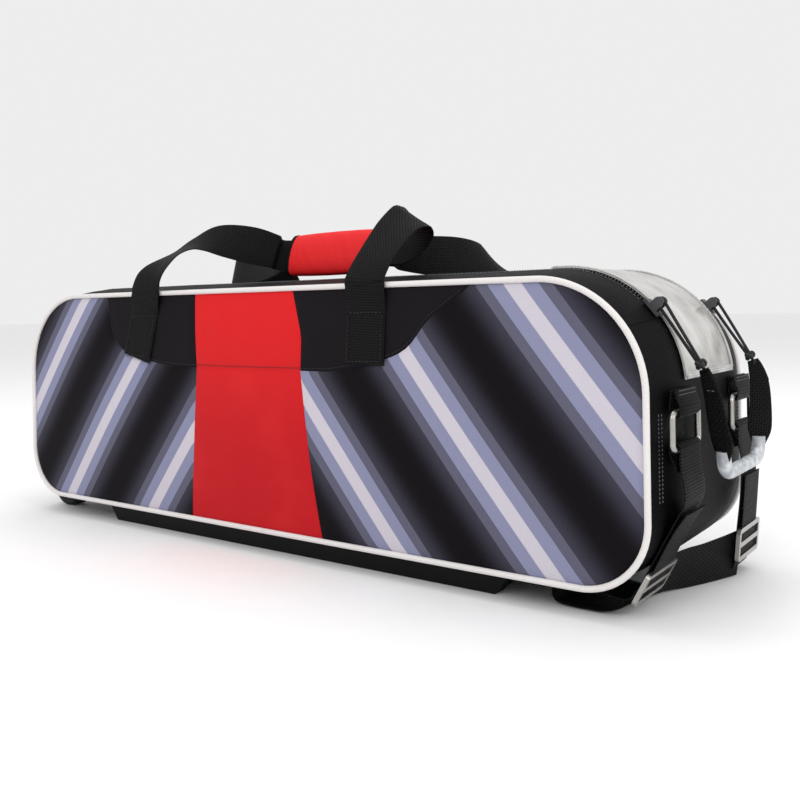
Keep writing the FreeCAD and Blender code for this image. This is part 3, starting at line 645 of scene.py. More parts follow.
def resampled(loop, spacing):
    """A closed line cut into steps of about one spacing, with its corners kept."""
    out = []
    for p, q in zip(loop, loop[1:] + loop[:1]):
        p, q = np.array(p, float), np.array(q, float)
        count = max(1, int(round(np.linalg.norm(q - p) / spacing)))
        out += [p + (q - p) * k / count for k in range(count)]
    return np.array(out)


def patch(name, loop, side, material, slot, node, wrinkle=0.0, spacing=5.0, grid=8.0):
    """One sewn piece of a side panel: a padded sheet that dips at its seams."""
    edge = resampled(loop, spacing)
    low, high = edge.min(0), edge.max(0)
    xs, zs = np.arange(low[0], high[0], grid), np.arange(low[1], high[1], grid)
    inner = np.array([(x + (grid / 2 if j % 2 else 0), z) for j, z in enumerate(zs) for x in xs])
    inner = inner[inside(inner, edge)]
    inner = inner[seam_distance(inner, edge) > 5.5]
    after, before = np.roll(edge, -1, 0), np.roll(edge, 1, 0)
    along = after - before
    along /= np.maximum(np.linalg.norm(along, axis=1), 1e-9)[:, None]
    rings = []
    turn = 1 if inside(edge[:1] + np.array([[-along[0][1], along[0][0]]]) * 0.5, edge)[0] else -1
    for depth in (1.2, 3.0):
        ring = edge + np.stack([-along[:, 1], along[:, 0]], 1) * depth * turn
        keep = inside(ring, edge) & (seam_distance(ring, edge) > depth * 0.85)
        rings.append(ring[keep])
    flat = np.concatenate([edge] + rings + [inner])
    n = len(edge)
    made = delaunay_2d_cdt([Vector(p) for p in flat], [(i, (i + 1) % n) for i in range(n)], [],
                           1, 1e-4)
    points = np.array([tuple(v) for v in made[0]])
    far = seam_distance(points, edge)
    lift = belly(points[:, 0], points[:, 1]) - 1.3 * (1 - step(0.0, 4.5, far))
    if wrinkle:
        x, z = points[:, 0], points[:, 1]
        fold = np.sin(x * 0.11 + z * 0.05) * np.sin(z * 0.07 - x * 0.03)
        lift = lift + wrinkle * fold * step(2.0, 16.0, far)
    front = np.stack([points[:, 0], side * (HALF_DEPTH + lift), points[:, 1]], 1)
    back = np.stack([points[:, 0], np.full(len(points), side * (HALF_DEPTH - SKIN)), points[:, 1]], 1)
    faces, count, lifted = [], {}, len(points)
    for face in made[2]:
        face = tuple(face)
        corner = points[list(face)]
        area = np.cross(corner[1] - corner[0], corner[2] - corner[0])
        if (area > 0) != (side < 0):
            face = face[::-1]
        faces.append(face)
        faces.append(tuple(i + lifted for i in face[::-1]))
        for k in range(len(face)):
            pair = (face[k], face[(k + 1) % len(face)])
            count[pair] = count.get(pair, 0) + 1
    for a, b in list(count):
        if (b, a) not in count:
            faces.append((b, a, a + lifted, b + lifted))
    uv = np.concatenate([points, points])
    return piece(name, np.concatenate([front, back]), faces, material, "bag", node=node, slot=slot,
                 uv=uv, crease=60)


def outline_stretch(s_from, s_to, inset, spacing=6.0):
    count = max(2, int(abs(s_to - s_from) / spacing))
    rows = []
    for s in np.linspace(s_from, s_to, count):
        x, z, nx, nz = outline(s)
        rows.append((x - nx * inset, z - nz * inset))
    return rows


INSET = 1.4


def stripe_edge(k, z):
    """x of the centre stripe's edge, 0 left and 1 right, at a height."""
    heights = [FOOT, 90.0, SEAM_Z, 215.0, 262.0]
    edges = ([-103, -97, -90, -92.5, -94], [77, 66, 55, 56, 43])
    return float(np.interp(z, heights, edges[k]))


def panel_loops():
    """The five pieces of a side panel as closed lines of (x, z)."""
    top, foot = TOP - INSET, FOOT + INSET
    yoke = [tuple(p) for p in smooth_path(YOKE, 6)]
    yoke_left = [p for p in yoke if p[0] < stripe_edge(0, SEAM_Z) - 3]
    yoke_right = [p for p in yoke if p[0] > stripe_edge(1, SEAM_Z) + 3]
    yoke_left[0], yoke_right[-1] = (yoke_left[0][0], top), (yoke_right[-1][0], top)
    rise = np.linspace(SEAM_Z, top, 9)
    fall = np.linspace(SEAM_Z, foot, 12)
    left_up = [(stripe_edge(0, z), z) for z in rise]
    right_up = [(stripe_edge(1, z), z) for z in rise]
    left_down = [(stripe_edge(0, z), z) for z in fall]
    right_down = [(stripe_edge(1, z), z) for z in fall]
    s_left = on_top(yoke_left[0][0])
    s_right = on_top(yoke_right[-1][0])
    around_left = outline_stretch(s_left, -left_down[-1][0], INSET)
    around_right = outline_stretch(ROUND_TRIP - right_down[-1][0], s_right, INSET)
    return {
        "panel_left": around_left[:-1] + left_down[::-1] + yoke_left[::-1][:-1],
        "panel_right": around_right[:-1] + yoke_right[::-1] + right_down[:-1],
        "yoke_left": yoke_left + left_up,
        "yoke_right": right_up[::-1] + yoke_right,
        "stripe_upper": left_up + right_up[::-1],
        "stripe_lower": left_down + right_down[::-1],
    }


def merged(name, objects):
    """Joins pieces that stand for one CAD node."""
    first, rest = objects[0], objects[1:]
    with bpy.context.temp_override(active_object=first, selected_editable_objects=objects,
                                   selected_objects=objects, object=first):
        bpy.ops.object.join()
    first.name = name
    return first


def make_side(name, side):
    loops = panel_loops()
    for part in ("panel_left", "panel_right"):
        patch(f"{name}_{part}_cloth", loops[part], side, print_cloth, "printed_fabric",
              f"{name}_{part}")
    both = [patch(f"{name}_yoke_{end}", loops[f"yoke_{end}"], side, yoke_cloth, "yoke_fabric",
                  f"{name}_yoke", wrinkle=0.5) for end in ("left", "right")]
    merged(f"{name}_yoke_cloth", both)
    for part, fold in (("stripe_upper", 0.9), ("stripe_lower", 0.5)):
        patch(f"{name}_{part}_cloth", loops[part], side, stripe_red, "red_fabric",
              f"{name}_{part}", wrinkle=fold)
    rope = [over(s, side * HALF_DEPTH, 0.2) for s in np.linspace(0, ROUND_TRIP, 360)[:-1]]
    tube(f"{name}_piping_cord", rope, PIPING_CORD, piping_white, "bag", sides=12, closed=True,
         node=f"{name}_piping", slot="piping")


def surface(x, z, side, lift=0.0):
    """A point on a side panel's outside."""
    return (x, side * (HALF_DEPTH + float(belly(np.array(x, float), np.array(z, float))) + lift), z)


for side_name, side_sign in (("front", -1), ("back", 1)):
    make_side(side_name, side_sign)


# ---- gussets: top strips, lid, ends and bottom ----

def crown(y):
    """Height of the top and ends over the panel's edge, at a distance from the centre plane."""
    t = np.clip((EDGE + 1.5 - abs(y)) / (EDGE + 1.5 - ZIP_OUTER), 0, 1)
    return CROWN * (1 - (1 - t) ** 1.6)


WHEEL_X, WHEEL_Y, WHEEL_Z = -375.0, 74.0, 27.0
WELL_RADIUS = 35.5
WELL_HALF = 16.8


def clear_of_wheel(point, radius):
    """Push a point of the shell inwards, up and along the bag, out of a wheel's round well."""
    x, y, z = point
    gap_x, gap_z = x - WHEEL_X, z - WHEEL_Z
    if abs(abs(y) - WHEEL_Y) > WELL_HALF or math.hypot(gap_x, gap_z) >= radius:
        return point
    lean = (gap_x + gap_z) / math.sqrt(2)
    push = -lean + math.sqrt(lean ** 2 + radius ** 2 - gap_x ** 2 - gap_z ** 2)
    return (x + push / math.sqrt(2), y, z + push / math.sqrt(2))


def gusset(name, s_from, s_to, ys, height, material, body, node, slot, thick=SKIN, spacing=9.0,
           ripple=0.0):
    """A strip of shell over part of the outline; height(s, y) is its outside."""
    count = max(3, int((s_to - s_from) / spacing))
    outer, inner = [], []
    for s in np.linspace(s_from, s_to, count):
        row_out, row_in = [], []
        for y in ys:
            out = height(s, y)
            if ripple:
                free = min(1.0, (s - s_from) / 25.0, (s_to - s) / 25.0)
                out += ripple * free * math.sin(s * 0.055 + y * 0.02) * math.sin(y * 0.06 + 1.3)
            row_out.append(clear_of_wheel(over(s, y, out), WELL_RADIUS))
            row_in.append(clear_of_wheel(over(s, y, out - thick), WELL_RADIUS + thick))
        outer.append(row_out)
        inner.append(row_in)
    return slab(name, outer, inner, material, body, node=node, slot=slot, crease=50)


def lid_height(s, y):
    """The lid stands evenly over the outline."""
    return CROWN + 1.0


for side_name, side_sign in (("front", -1), ("back", 1)):
    ys = [side_sign * y for y in np.linspace(EDGE + 1.5, ZIP_OUTER, 9)]
    if side_sign > 0:
        ys = ys[::-1]
    gusset(f"top_strip_{side_name}_cloth", on_left_shoulder(LEFT_SEAM),
           on_right_shoulder(SHOULDER_SEAM), ys, lambda s, y: crown(y), ballistic, "bag",
           f"top_strip_{side_name}", "black_fabric", ripple=0.35)

full = list(np.linspace(-EDGE - 1.5, EDGE + 1.5, 25))
wheel_edges = [sign * (WHEEL_Y + side * (WELL_HALF + out)) for sign in (-1, 1) for side in (-1, 1)
               for out in (-0.2, 0.6)]
with_wells = sorted(full + wheel_edges)
gusset("end_panel_right_cloth", on_right_shoulder(SHOULDER_SEAM), RIGHT_LINE_END, full,
       lambda s, y: crown(y) - 0.4, ballistic, "bag", "end_panel_right", "black_fabric",
       spacing=6.0, ripple=0.5)
gusset("end_panel_left_cloth", ROUND_TRIP - RIGHT_LINE_END, on_left_shoulder(LEFT_SEAM),
       with_wells, lambda s, y: crown(y) - 0.4, ballistic, "bag", "end_panel_left",
       "black_fabric", spacing=4.0, ripple=0.6)
lid_ys = list(np.linspace(-LID_HALF, LID_HALF, 15))
gusset("lid_cloth", on_left_shoulder(LEFT_SEAM), on_top(FLAP_HINGE_X), lid_ys, lid_height,
       ballistic, "bag", "lid_main", "black_fabric", ripple=0.5)
gusset("lid_end_cloth", on_top(FLAP_HINGE_X + 0.5), on_top(TOP_CX), lid_ys, lid_height,
       ballistic, "lid_end", "lid_end_panel", "black_fabric", ripple=0.3)
gusset("end_flap_vinyl", on_top(VINYL_FROM), on_right_shoulder(VINYL_END), lid_ys,
       lambda s, y: CROWN + 2.4, milky_vinyl, "lid_end", "lid_flap_vinyl", "clear_vinyl",
       thick=0.9, spacing=5.0, ripple=0.35)


def bottom_height(s, y):
    """The bottom is flat, and the crown of the ends fades out round the lower corners."""
    t = min(abs(s - RIGHT_LINE_END), abs(s - (ROUND_TRIP - RIGHT_LINE_END))) / QUARTER_LOW
    fade = 1 - float(step(0.0, 1.0, np.array(t)))
    return fade * (crown(y) - 0.4) * 0.8


# The bottom runs on past the point where the way round the outline starts and ends.
gusset("bottom_cloth", RIGHT_LINE_END, ROUND_TRIP * 2 - RIGHT_LINE_END, with_wells, lambda s, y:
       bottom_height(s if s < ROUND_TRIP else s - ROUND_TRIP, y), ballistic, "bag",
       "bottom_panel", "black_fabric", spacing=4.0)


# ---- carrying handles ----

WEBBING = 2.2
LEG_HALF = 22.0
LEG_FOOT = 190.0        # height of a leg's foot on the panel
LEG_JOIN = 246.0        # where the sewn leg becomes the free strap
LEG_TOP = 260.0
LEG_X = {"front": ((-167.0, -185.0), (136.0, 133.0)),
         "back": ((-186.0, -194.0), (131.0, 128.0))}

# Each station is the strap's middle (x, y, z), the direction across it and half its width.
FRONT_HANDLE = [
    ((-167, -122.5, 260), (1, 0, 0), 22),
    ((-167, -122.5, 266), (1, 0, 0), 22),
    ((-162, -119, 279), (1, -0.05, -0.05), 22),
    ((-152, -110, 293), (0.93, -0.35, -0.1), 22),
    ((-142, -97, 305), (0.78, -0.6, -0.15), 22),
    ((-131, -80, 314), (0.58, -0.7, -0.42), 22),
    ((-114, -60, 318), (0.3, -0.5, -0.8), 22),
    ((-92, -36, 313), (0.05, -0.38, -0.92), 22),
    ((-74, -18, 306), (0, -0.38, -0.92), 20),
    ((-62, -8.4, 301.8), (0, -0.35, -0.94), 17.5),
    ((70, -8.4, 301.8), (0, -0.35, -0.94), 17.5),
    ((86, -10, 302), (0.05, -0.35, -0.93), 19),
    ((106, -15, 305), (0.3, -0.35, -0.88), 21),
    ((125, -27, 313), (0.6, -0.3, -0.74), 22),
    ((139, -43, 322), (0.8, -0.1, -0.56), 22),
    ((145, -61, 325), (0.86, 0, -0.5), 22),
    ((144, -81, 316), (0.95, 0, -0.25), 22),
    ((142, -99, 300), (1, 0, -0.08), 22),
    ((139, -114, 282), (1, 0, 0), 22),
    ((136, -122.5, 266), (1, 0, 0), 22),
    ((136, -122.5, 260), (1, 0, 0), 22),
]
BACK_HANDLE = [
    ((-186, 122.5, 260), (1, 0, 0), 22),
    ((-186, 122.5, 266), (1, 0, 0), 22),
    ((-188, 122.5, 276), (1, 0, 0.1), 22),
    ((-202, 117, 287), (0.8, 0.3, 0.5), 22),
    ((-223, 103, 293), (0.5, 0.4, 0.77), 22),
    ((-236, 82, 294), (0.15, 0.25, 0.95), 22),
    ((-220, 62, 294), (0, 0.25, 0.96), 22),
    ((-175, 45, 294), (0, 0.28, 0.95), 22),
    ((-126, 25, 297), (0, 0.33, 0.94), 22),
    ((-88, 7, 299), (0, 0.35, 0.94), 20),
    ((-62, -0.6, 300), (0, 0.35, 0.94), 17.5),
    ((70, -0.6, 300), (0, 0.35, 0.94), 17.5),
    ((90, 4, 297), (0, 0.38, 0.92), 20),
    ((115, 16, 293.5), (-0.05, 0.4, 0.91), 22),
    ((133, 34, 293), (-0.2, 0.4, 0.9), 22),
    ((145, 58, 291), (-0.4, 0.35, 0.85), 22),
    ((150, 80, 288), (-0.65, 0.25, 0.7), 22),
    ((145, 103, 282), (-0.92, 0.1, 0.35), 22),
    ((136, 118, 276), (-1, 0, 0.05), 22),
    ((131, 122.5, 266), (-1, 0, 0), 22),
    ((131, 122.5, 260), (-1, 0, 0), 22),
]


def leg_station(side, ends, z, way=1):
    """A station of webbing that lies sewn on a side panel, and rises over the piping at its top."""
    x_top, x_foot = ends
    x = x_foot + (x_top - x_foot) * (z - LEG_FOOT) / (LEG_TOP - LEG_FOOT)
    on_panel = HALF_DEPTH + float(belly(x, z)) + WEBBING / 2 + 0.1
    over_piping = HALF_DEPTH + PIPING + WEBBING / 2 + 0.9
    y = on_panel + (over_piping - on_panel) * float(step(236.0, 257.0, z))
    return (x, side * y, z), (way, 0, 0), LEG_HALF


def handle(name, side, stations):
    """The legs on the panel, and the strap that bends where it leaves them."""
    left, right = LEG_X[name]
    legs = []
    for ends in (left, right):
        rows = [leg_station(side, ends, z) for z in np.arange(LEG_FOOT, LEG_JOIN + 1, 7)]
        legs.append(ribbon_data(rows, WEBBING, 3))
    verts, faces, uv = joined(legs)
    piece(f"{name}_handle_legs_webbing", verts, faces, webbing_black, "bag", uv=uv,
          node=f"{name}_handle_legs", slot="webbing")
    last_way = stations[-1][1][0]
    rise = [leg_station(side, left, z) for z in (LEG_JOIN - 1, 251, 256)]
    fall = [leg_station(side, right, z, last_way) for z in (256, 251, LEG_JOIN - 1)]
    verts, faces, uv = ribbon_data(rise + stations + fall, WEBBING * 0.95, 9)
    strap = piece(f"{name}_handle_webbing", verts, faces, webbing_black, None, uv=uv,
                  node=f"{name}_handle", slot="webbing")
    hinge_y = side * (HALF_DEPTH + 5) * MM
    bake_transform(strap)
    stitches = []
    for ends in (left, right):
        for z, reach in ((192.5, 0.86), (236.0, 0.86)):
            row = []
            for t in np.linspace(-reach, reach, 8):
                (x, y, _), _, half = leg_station(side, ends, z)
                row.append((x + half * t, y + side * (WEBBING / 2 - 0.1), z))
            stitches += thread_run(row, (0, side, 0))
        for t in (-0.86, 0.86):
            row = []
            for z in np.linspace(192.5, 236.0, 7):
                (x, y, _), _, half = leg_station(side, ends, z)
                row.append((x + half * t, y + side * (WEBBING / 2 - 0.1), z))
            stitches += thread_run(row, (0, side, 0))
    verts, faces, uv = joined(stitches)
    piece(f"{name}_leg_stitching", verts, faces, thread_black, "bag", uv=uv, slot="webbing")


handle("front", -1, FRONT_HANDLE)
handle("back", 1, BACK_HANDLE)


# ---- grip: a padded red sleeve ----

GRIP_FROM, GRIP_TO = -58.0, 66.0
GRIP_MIDDLE = np.array([0.0, -4.7, 300.6])
GRIP_THICK, GRIP_TALL = 21.0, 50.0
GRIP_UP = np.array([0.0, 0.35, 0.94]) / math.hypot(0.35, 0.94)
GRIP_OUT = np.cross((1.0, 0.0, 0.0), GRIP_UP)
GRIP_SIDES, GRIP_ROWS = 64, 62


def grip_section(x, scale, inset=0.0):
    """A rounded flat section of the sleeve, with its seam's groove and soft folds."""
    row = []
    t = (x - GRIP_FROM) / (GRIP_TO - GRIP_FROM)
    bulge = 0.93 + 0.07 * math.sin(math.pi * t) ** 0.6
    for k in range(GRIP_SIDES):
        a = 2 * math.pi * k / GRIP_SIDES
        c, s = math.cos(a), math.sin(a)
        across = math.copysign(abs(c) ** 0.8, c) * (GRIP_THICK / 2 - inset)
        tall = math.copysign(abs(s) ** 0.85, s) * (GRIP_TALL / 2 - inset)
        seam = math.exp(-((tall + 5.0) / 1.3) ** 2) * (1.1 if c < 0 else 0.4)
        fold = 0.45 * math.sin(x * 0.23 + 3.0 * s) * math.sin(x * 0.11 + a * 2.0)
        hem = 0.5 * math.exp(-(min(x - GRIP_FROM, GRIP_TO - x) - 6.0) ** 2 / 2.0)
        shrink = scale * bulge
        across = across * shrink - math.copysign(seam + hem - fold, c) * min(1.0, abs(c) * 2)
        row.append(GRIP_MIDDLE * (0, 1, 1) + np.array([x, 0, 0]) + GRIP_OUT * across
                   + GRIP_UP * tall * shrink)
    return row


def grip():
    rows = []
    ends = ((0.0, 0.72, 4.0), (0.0, 0.86, 0.8), (0.6, 0.95, 0.0))
    for lift, scale, inset in ends:
        rows.append(grip_section(GRIP_FROM + (3.0 if inset > 2 else lift), scale, 0.0))
    for x in np.linspace(GRIP_FROM + 2.0, GRIP_TO - 2.0, GRIP_ROWS):
        rows.append(grip_section(x, 1.0))
    for lift, scale, inset in reversed(ends):
        rows.append(grip_section(GRIP_TO - (3.0 if inset > 2 else lift), scale, 0.0))
    n, m = len(rows), GRIP_SIDES
    faces = [(i * m + k, i * m + (k + 1) % m, (i + 1) * m + (k + 1) % m, (i + 1) * m + k)
             for i in range(n - 1) for k in range(m)]
    faces += [tuple(range(m))[::-1], tuple(range((n - 1) * m, n * m))]
    verts = [p for row in rows for p in row]
    uv = [(row[k][0], k * 2.0) for row in rows for k in range(m)]
    sleeve = piece("grip_sleeve", verts, faces, red_grip, "front_carry_handle", uv=uv,
                   node="grip_wrap", slot="red_fabric", crease=60)
    bands = []
    for x_from, x_to in ((GRIP_FROM - 1.5, GRIP_FROM + 5.0), (GRIP_TO - 5.0, GRIP_TO + 1.5)):
        rows = []
        for x, scale in ((x_from, 0.97), (x_from + 1.0, 1.03), (x_to - 1.0, 1.03), (x_to, 0.97)):
            rows.append(grip_section(min(max(x, GRIP_FROM), GRIP_TO), scale)[:])
            rows[-1] = [(x, p[1], p[2]) for p in rows[-1]]
        faces = [(i * m + k, i * m + (k + 1) % m, (i + 1) * m + (k + 1) % m, (i + 1) * m + k)
                 for i in range(3) for k in range(m)]
        faces += [tuple(range(m))[::-1], tuple(range(3 * m, 4 * m))]
        bands.append(([p for row in rows for p in row], faces, [(p[0], k * 2.0) for row in rows
                                                                for k, p in enumerate(row)]))
    verts, faces, uv = joined(bands)
    binding = piece("grip_bindings", verts, faces, ballistic, "front_carry_handle", uv=uv,
                    slot="black_fabric", crease=60)
    for soft in (sleeve, binding):
        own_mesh(soft)


grip()


# ---- zipper coils ----

TOOTH_PITCH = 2.6

for side_name, side_sign in (("front", -1), ("back", 1)):
    teeth = []
    for s in np.arange(on_left_shoulder(LEFT_SEAM) + 2, on_right_shoulder(SHOULDER_SEAM) - 2,
                       TOOTH_PITCH):
        ys = [side_sign * (ZIP_INNER + 0.2 + (ZIP_OUTER - ZIP_INNER - 0.4) * t) for t in (0, 0.5, 1)]
        rows = [over(s, ys[0], 8.7), over(s, ys[1], 9.6), over(s, ys[2], 8.7)]
        teeth.append(tube_data(rows, [0.7, 0.9, 0.7], 6, up=(1, 0, 0)))
    tape = np.linspace(on_left_shoulder(LEFT_SEAM), on_right_shoulder(SHOULDER_SEAM), 90)
    lines = [side_sign * ZIP_INNER, side_sign * ZIP_OUTER]
    if side_sign > 0:
        lines = lines[::-1]
    teeth.append(slab_data([[over(s, y, 8.4) for y in lines[::-1]] for s in tape],
                           [[over(s, y, 7.2) for y in lines[::-1]] for s in tape]))
    verts, faces, uv = joined(teeth)
    piece(f"zip_coil_{side_name}", verts, faces, coil_black, "bag", uv=uv,
          node=f"zipper_coil_{side_name}", slot="zipper")


# ---- lifting bridle on the zipper pulls ----

PIVOT = np.array([383.97, 0.0, 240.78])
PULL_Y = 67.5
KNOT = np.array([414.0, 0.0, 193.0])
BRIDLE_X = 425.0
CORD = 1.35


def bridle_cord(name, side):
    """A cord doubled round the pull's pin and tied in a knot."""
    at, knot = PIVOT + (0, side * PULL_Y, 0), KNOT + (0, side * PULL_Y, 0)
    run = (knot - at) / np.linalg.norm(knot - at)
    beside = np.cross(run, (0.0, 1.0, 0.0))
    far = 2.9
    turn = [at + far * (beside * math.cos(a) - run * math.sin(a)) for a in np.linspace(0, math.pi, 9)]
    path = [knot + beside * 1.0] + [at + run * 24 + beside * 2.2 + (0, side * 0.8, 0)]
    path += turn + [at + run * 24 - beside * 2.2 - (0, side * 0.8, 0), knot - beside * 1.0]
    parts = [tube_data(smooth_path(path, 5), CORD, 10)]
    t = np.linspace(0, 2 * math.pi, 60, endpoint=False)
    loop = np.stack([np.sin(t) + 2 * np.sin(2 * t), np.cos(t) - 2 * np.cos(2 * t), -np.sin(3 * t) * 1.3], 1)
    spun = loop[:, :1] * beside + loop[:, 1:2] * np.array([0, 1.0, 0]) + loop[:, 2:] * run
    parts.append(tube_data(knot + spun * 1.22, 1.7, 8, closed=True))
    parts.append(tube_data([knot + run * 2, knot + run * 6 + (1.2, 0, 0), knot + (2.5, 0, -9.5)], CORD, 8))
    verts, faces, uv = joined(parts)
    piece(f"bridle_cord_{name}_braid", verts, faces, cord_black, "bridle", uv=uv,
          node=f"bridle_cord_{name}", slot="cord", crease=60)


def bridle_webbing(name, side):
    """The leg of webbing from the knot down to the tube, gathered at its foot."""
    way = (0.9, side * 0.4, 0)
    rows = [((416.5, side * 67.6, 189.5), way, 4.5), ((419.5, side * 67.6, 181), way, 6.5),
            ((422.5, side * 66.0, 168), way, 8), ((424.2, side * 61.0, 148), way, 9),
            ((425.0, side * 53.5, 132), way, 9.5), ((425.0, side * 50.3, 121), way, 6),
            ((425.0, side * 50.0, 116), way, 4)]
    lower = [((418.0, side * 69.4, 187), way, 4.5), ((420.5, side * 69.5, 179), way, 6),
             ((422.8, side * 68.4, 171), way, 7)]
    parts = [ribbon_data(rows, WEBBING, 5), ribbon_data(lower, 1.6, 4)]
    verts, faces, uv = joined(parts)
    piece(f"bridle_webbing_{name}_strap", verts, faces, webbing_black, "bridle", uv=uv,
          node=f"bridle_webbing_{name}", slot="webbing")
    rows = [(422.5 + t, side * (69.7 + t * 0.4), 173.5) for t in (-5, 0, 5)]
    verts, faces, uv = joined(thread_run(rows, (0, side, 0)))
    piece(f"bridle_stitching_{name}", verts, faces, thread_grey, "bridle", uv=uv, slot="webbing")


for side_name, side_sign in (("front", -1), ("back", 1)):
    bridle_cord(side_name, side_sign)
    bridle_webbing(side_name, side_sign)

TUBE_Y, TUBE_TOP, TUBE_LOW, TUBE_BEND = 50.0, 125.6, 108.0, 15.0
u_shape = [(BRIDLE_X, -TUBE_Y, z) for z in np.linspace(TUBE_TOP, TUBE_LOW + TUBE_BEND, 3)]
for a in np.linspace(10, 90, 9):
    u_shape.append((BRIDLE_X, -TUBE_Y + TUBE_BEND * (1 - math.cos(math.radians(a))),
                    TUBE_LOW + TUBE_BEND * (1 - math.sin(math.radians(a)))))
u_shape += [(BRIDLE_X, y, TUBE_LOW) for y in np.linspace(-28, 0, 7)]
u_shape += [(x, -y, z) for x, y, z in u_shape[-2::-1]]
tube("bridle_clear_tube", u_shape, 5.5, clear_tube, "bridle", sides=20, node="bridle_tube",
     slot="clear_tube")


# ---- ring tabs and the tow strap ----

BAR_GAP = 3.9           # from a ring bar's centre to the middle of the webbing round it


def tab(name, side):
    """Doubled webbing that comes off the end's seam and round the ring's upper bar."""
    y, z = side * RING_Y, RING_TOP_BAR
    route = [(RING_X - 2.6, z + 17.0), (RING_X - 3.0, z + 12.0), (RING_X - BAR_GAP, z + 5.0)]
    route += [(RING_X - BAR_GAP * math.cos(a), z - BAR_GAP * math.sin(a))
              for a in np.linspace(0, math.pi, 8)]
    route += [(RING_X + BAR_GAP, z + 5.0), (RING_X + 1.6, z + 11.0), (RING_X + 0.6, z + 17.0)]
    rows = [((x, y, high), (0, 1, 0), TOW_HALF) for x, high in route]
    verts, faces, uv = ribbon_data(rows, 1.8, 4)
    piece(f"ring_tab_{name}_webbing", verts, faces, webbing_black, "bag",
          node=f"ring_tab_{name}", slot="webbing", uv=uv)
    lines = []
    for rise in (13.0, 16.0):
        lines += thread_run([(RING_X + 1.9, y + t, z + rise) for t in (-20, 0, 20)], (1, 0, 0))
    verts, faces, uv = joined(lines)
    piece(f"ring_tab_{name}_stitching", verts, faces, thread_grey, "bag", uv=uv, slot="webbing")


def strap_rows(route, y):
    """Webbing stations along an (x, z) route at one y."""
    return [((x, y, z), (0, 1, 0), TOW_HALF) for x, z in route]


def bar_loop():
    """Route over the ring's lower bar, from the sewn end behind it to the front."""
    z = RING_LOW_BAR
    over_bar = [(RING_X - BAR_GAP * math.cos(a), z + BAR_GAP * math.sin(a))
                for a in np.linspace(0, math.pi, 8)]
    return [(RING_X + 0.5, z - 17.0), (RING_X - 0.6, z - 12.0), (RING_X - BAR_GAP, z - 5.0)] + over_bar


def tow_strap():
    """The tow strap: legs from both rings to their glides, a fold in front and a crossing."""
    y = RING_Y
    front = bar_loop() + [(407.6, 127), (408.0, 117), (410.2, 103), (410.0, 92), (404, 80), (389.5, 53),
                          (376, 28), (366.5, 15.5), (355, 15.0), (340, 17.4), (325, 18.6), (312, 18.0),
                          (304, 14.5), (302, 9.5), (305, 4.6), (312, 2.3), (330, 1.9), (346, 2.6),
                          (357, 6), (366, 11.5)]
    back = bar_loop() + [(407.6, 127), (408.0, 117), (410.2, 103), (410.0, 92), (408.6, 70), (405, 38),
                         (402.8, 14), (398.5, 6.5), (391, 2.6), (379, 2.2)]
    tail_front = [(411.0, 84), (400, 67), (384, 36), (374.5, 18.5)]
    tail_back = [(413.0, 90), (410.0, 52), (406.8, 20)]
    crossing = [((372.3, -60, 21), (0.47, 0, 0.88), 20), ((372.5, -41, 21), (0.47, 0, 0.88), 20.5),
                ((377.5, -20, 21), (0.45, 0, 0.89), 21), ((386, 3, 20.5), (0.38, 0, 0.92), 21),
                ((395.5, 30, 21), (0.25, 0, 0.97), 20.5), ((403.2, 60, 21), (0.09, 0, 0.996), 20)]
    parts = [ribbon_data(strap_rows(front, -y), 2.0, 5), ribbon_data(strap_rows(back, y), 2.0, 5),
             ribbon_data(crossing, 2.0, 8)]
    parts.append(ribbon_data([((x, -y, z), (0, 1, 0), TOW_HALF - 0.8) for x, z in tail_front], 1.6, 6))
    parts.append(ribbon_data([((x, y, z), (0, 1, 0), TOW_HALF - 0.8) for x, z in tail_back], 1.6, 6))
    verts, faces, uv = joined(parts)
    piece("tow_strap_webbing", verts, faces, webbing_black, "tow", uv=uv, node="tow_strap",
          slot="webbing")


for side_name, side_sign in (("front", -1), ("back", 1)):
    tab(side_name, side_sign)
tow_strap()


# ---- seams: rows of stitches and folded edges ----

def panel_stitching(name, side):
    """A row of stitches along the yoke's seam."""
    rows = []
    for x, z in smooth_path(YOKE, 10):
        if z < TOP - 6:
            rows.append(surface(x, z + 2.6, side, -0.45))
    verts, faces, uv = joined(thread_run(rows, (0, side, 0), length=2.4, gap=1.2, radius=0.34))
    piece(f"{name}_yoke_stitching", verts, faces, thread_black, "bag", uv=uv, slot="yoke_fabric")


def end_stitching(name, side):
    """Two rows of stitches up the pulling end, beside the piping."""
    rows = []
    for inner in (98.0, 102.0):
        line = [over(s, side * inner, crown(inner) - 0.35)
                for s in np.linspace(RIGHT_LINE_END - 80, RIGHT_LINE_END - 12, 12)]
        rows += thread_run(line, (1, 0, 0), length=1.7, gap=1.5, radius=0.4)
    verts, faces, uv = joined(rows)
    piece(f"end_stitching_{name}", verts, faces, thread_grey, "bag", uv=uv, slot="black_fabric")


def strip_stitching(name, side):
    """A row of stitches along each top strip, beside the zipper."""
    line = [over(s, side * (ZIP_OUTER + 5), crown(ZIP_OUTER + 5) + 0.1)
            for s in np.linspace(on_left_shoulder(LEFT_SEAM) + 4, on_right_shoulder(44), 160)]
    verts, faces, uv = joined(thread_run(line, (0, 0, 1), length=2.6, gap=1.4, radius=0.34))
    piece(f"strip_stitching_{name}", verts, faces, thread_grey, "bag", uv=uv, slot="black_fabric")


for side_name, side_sign in (("front", -1), ("back", 1)):
    panel_stitching(side_name, side_sign)
    end_stitching(side_name, side_sign)
    strip_stitching(side_name, side_sign)


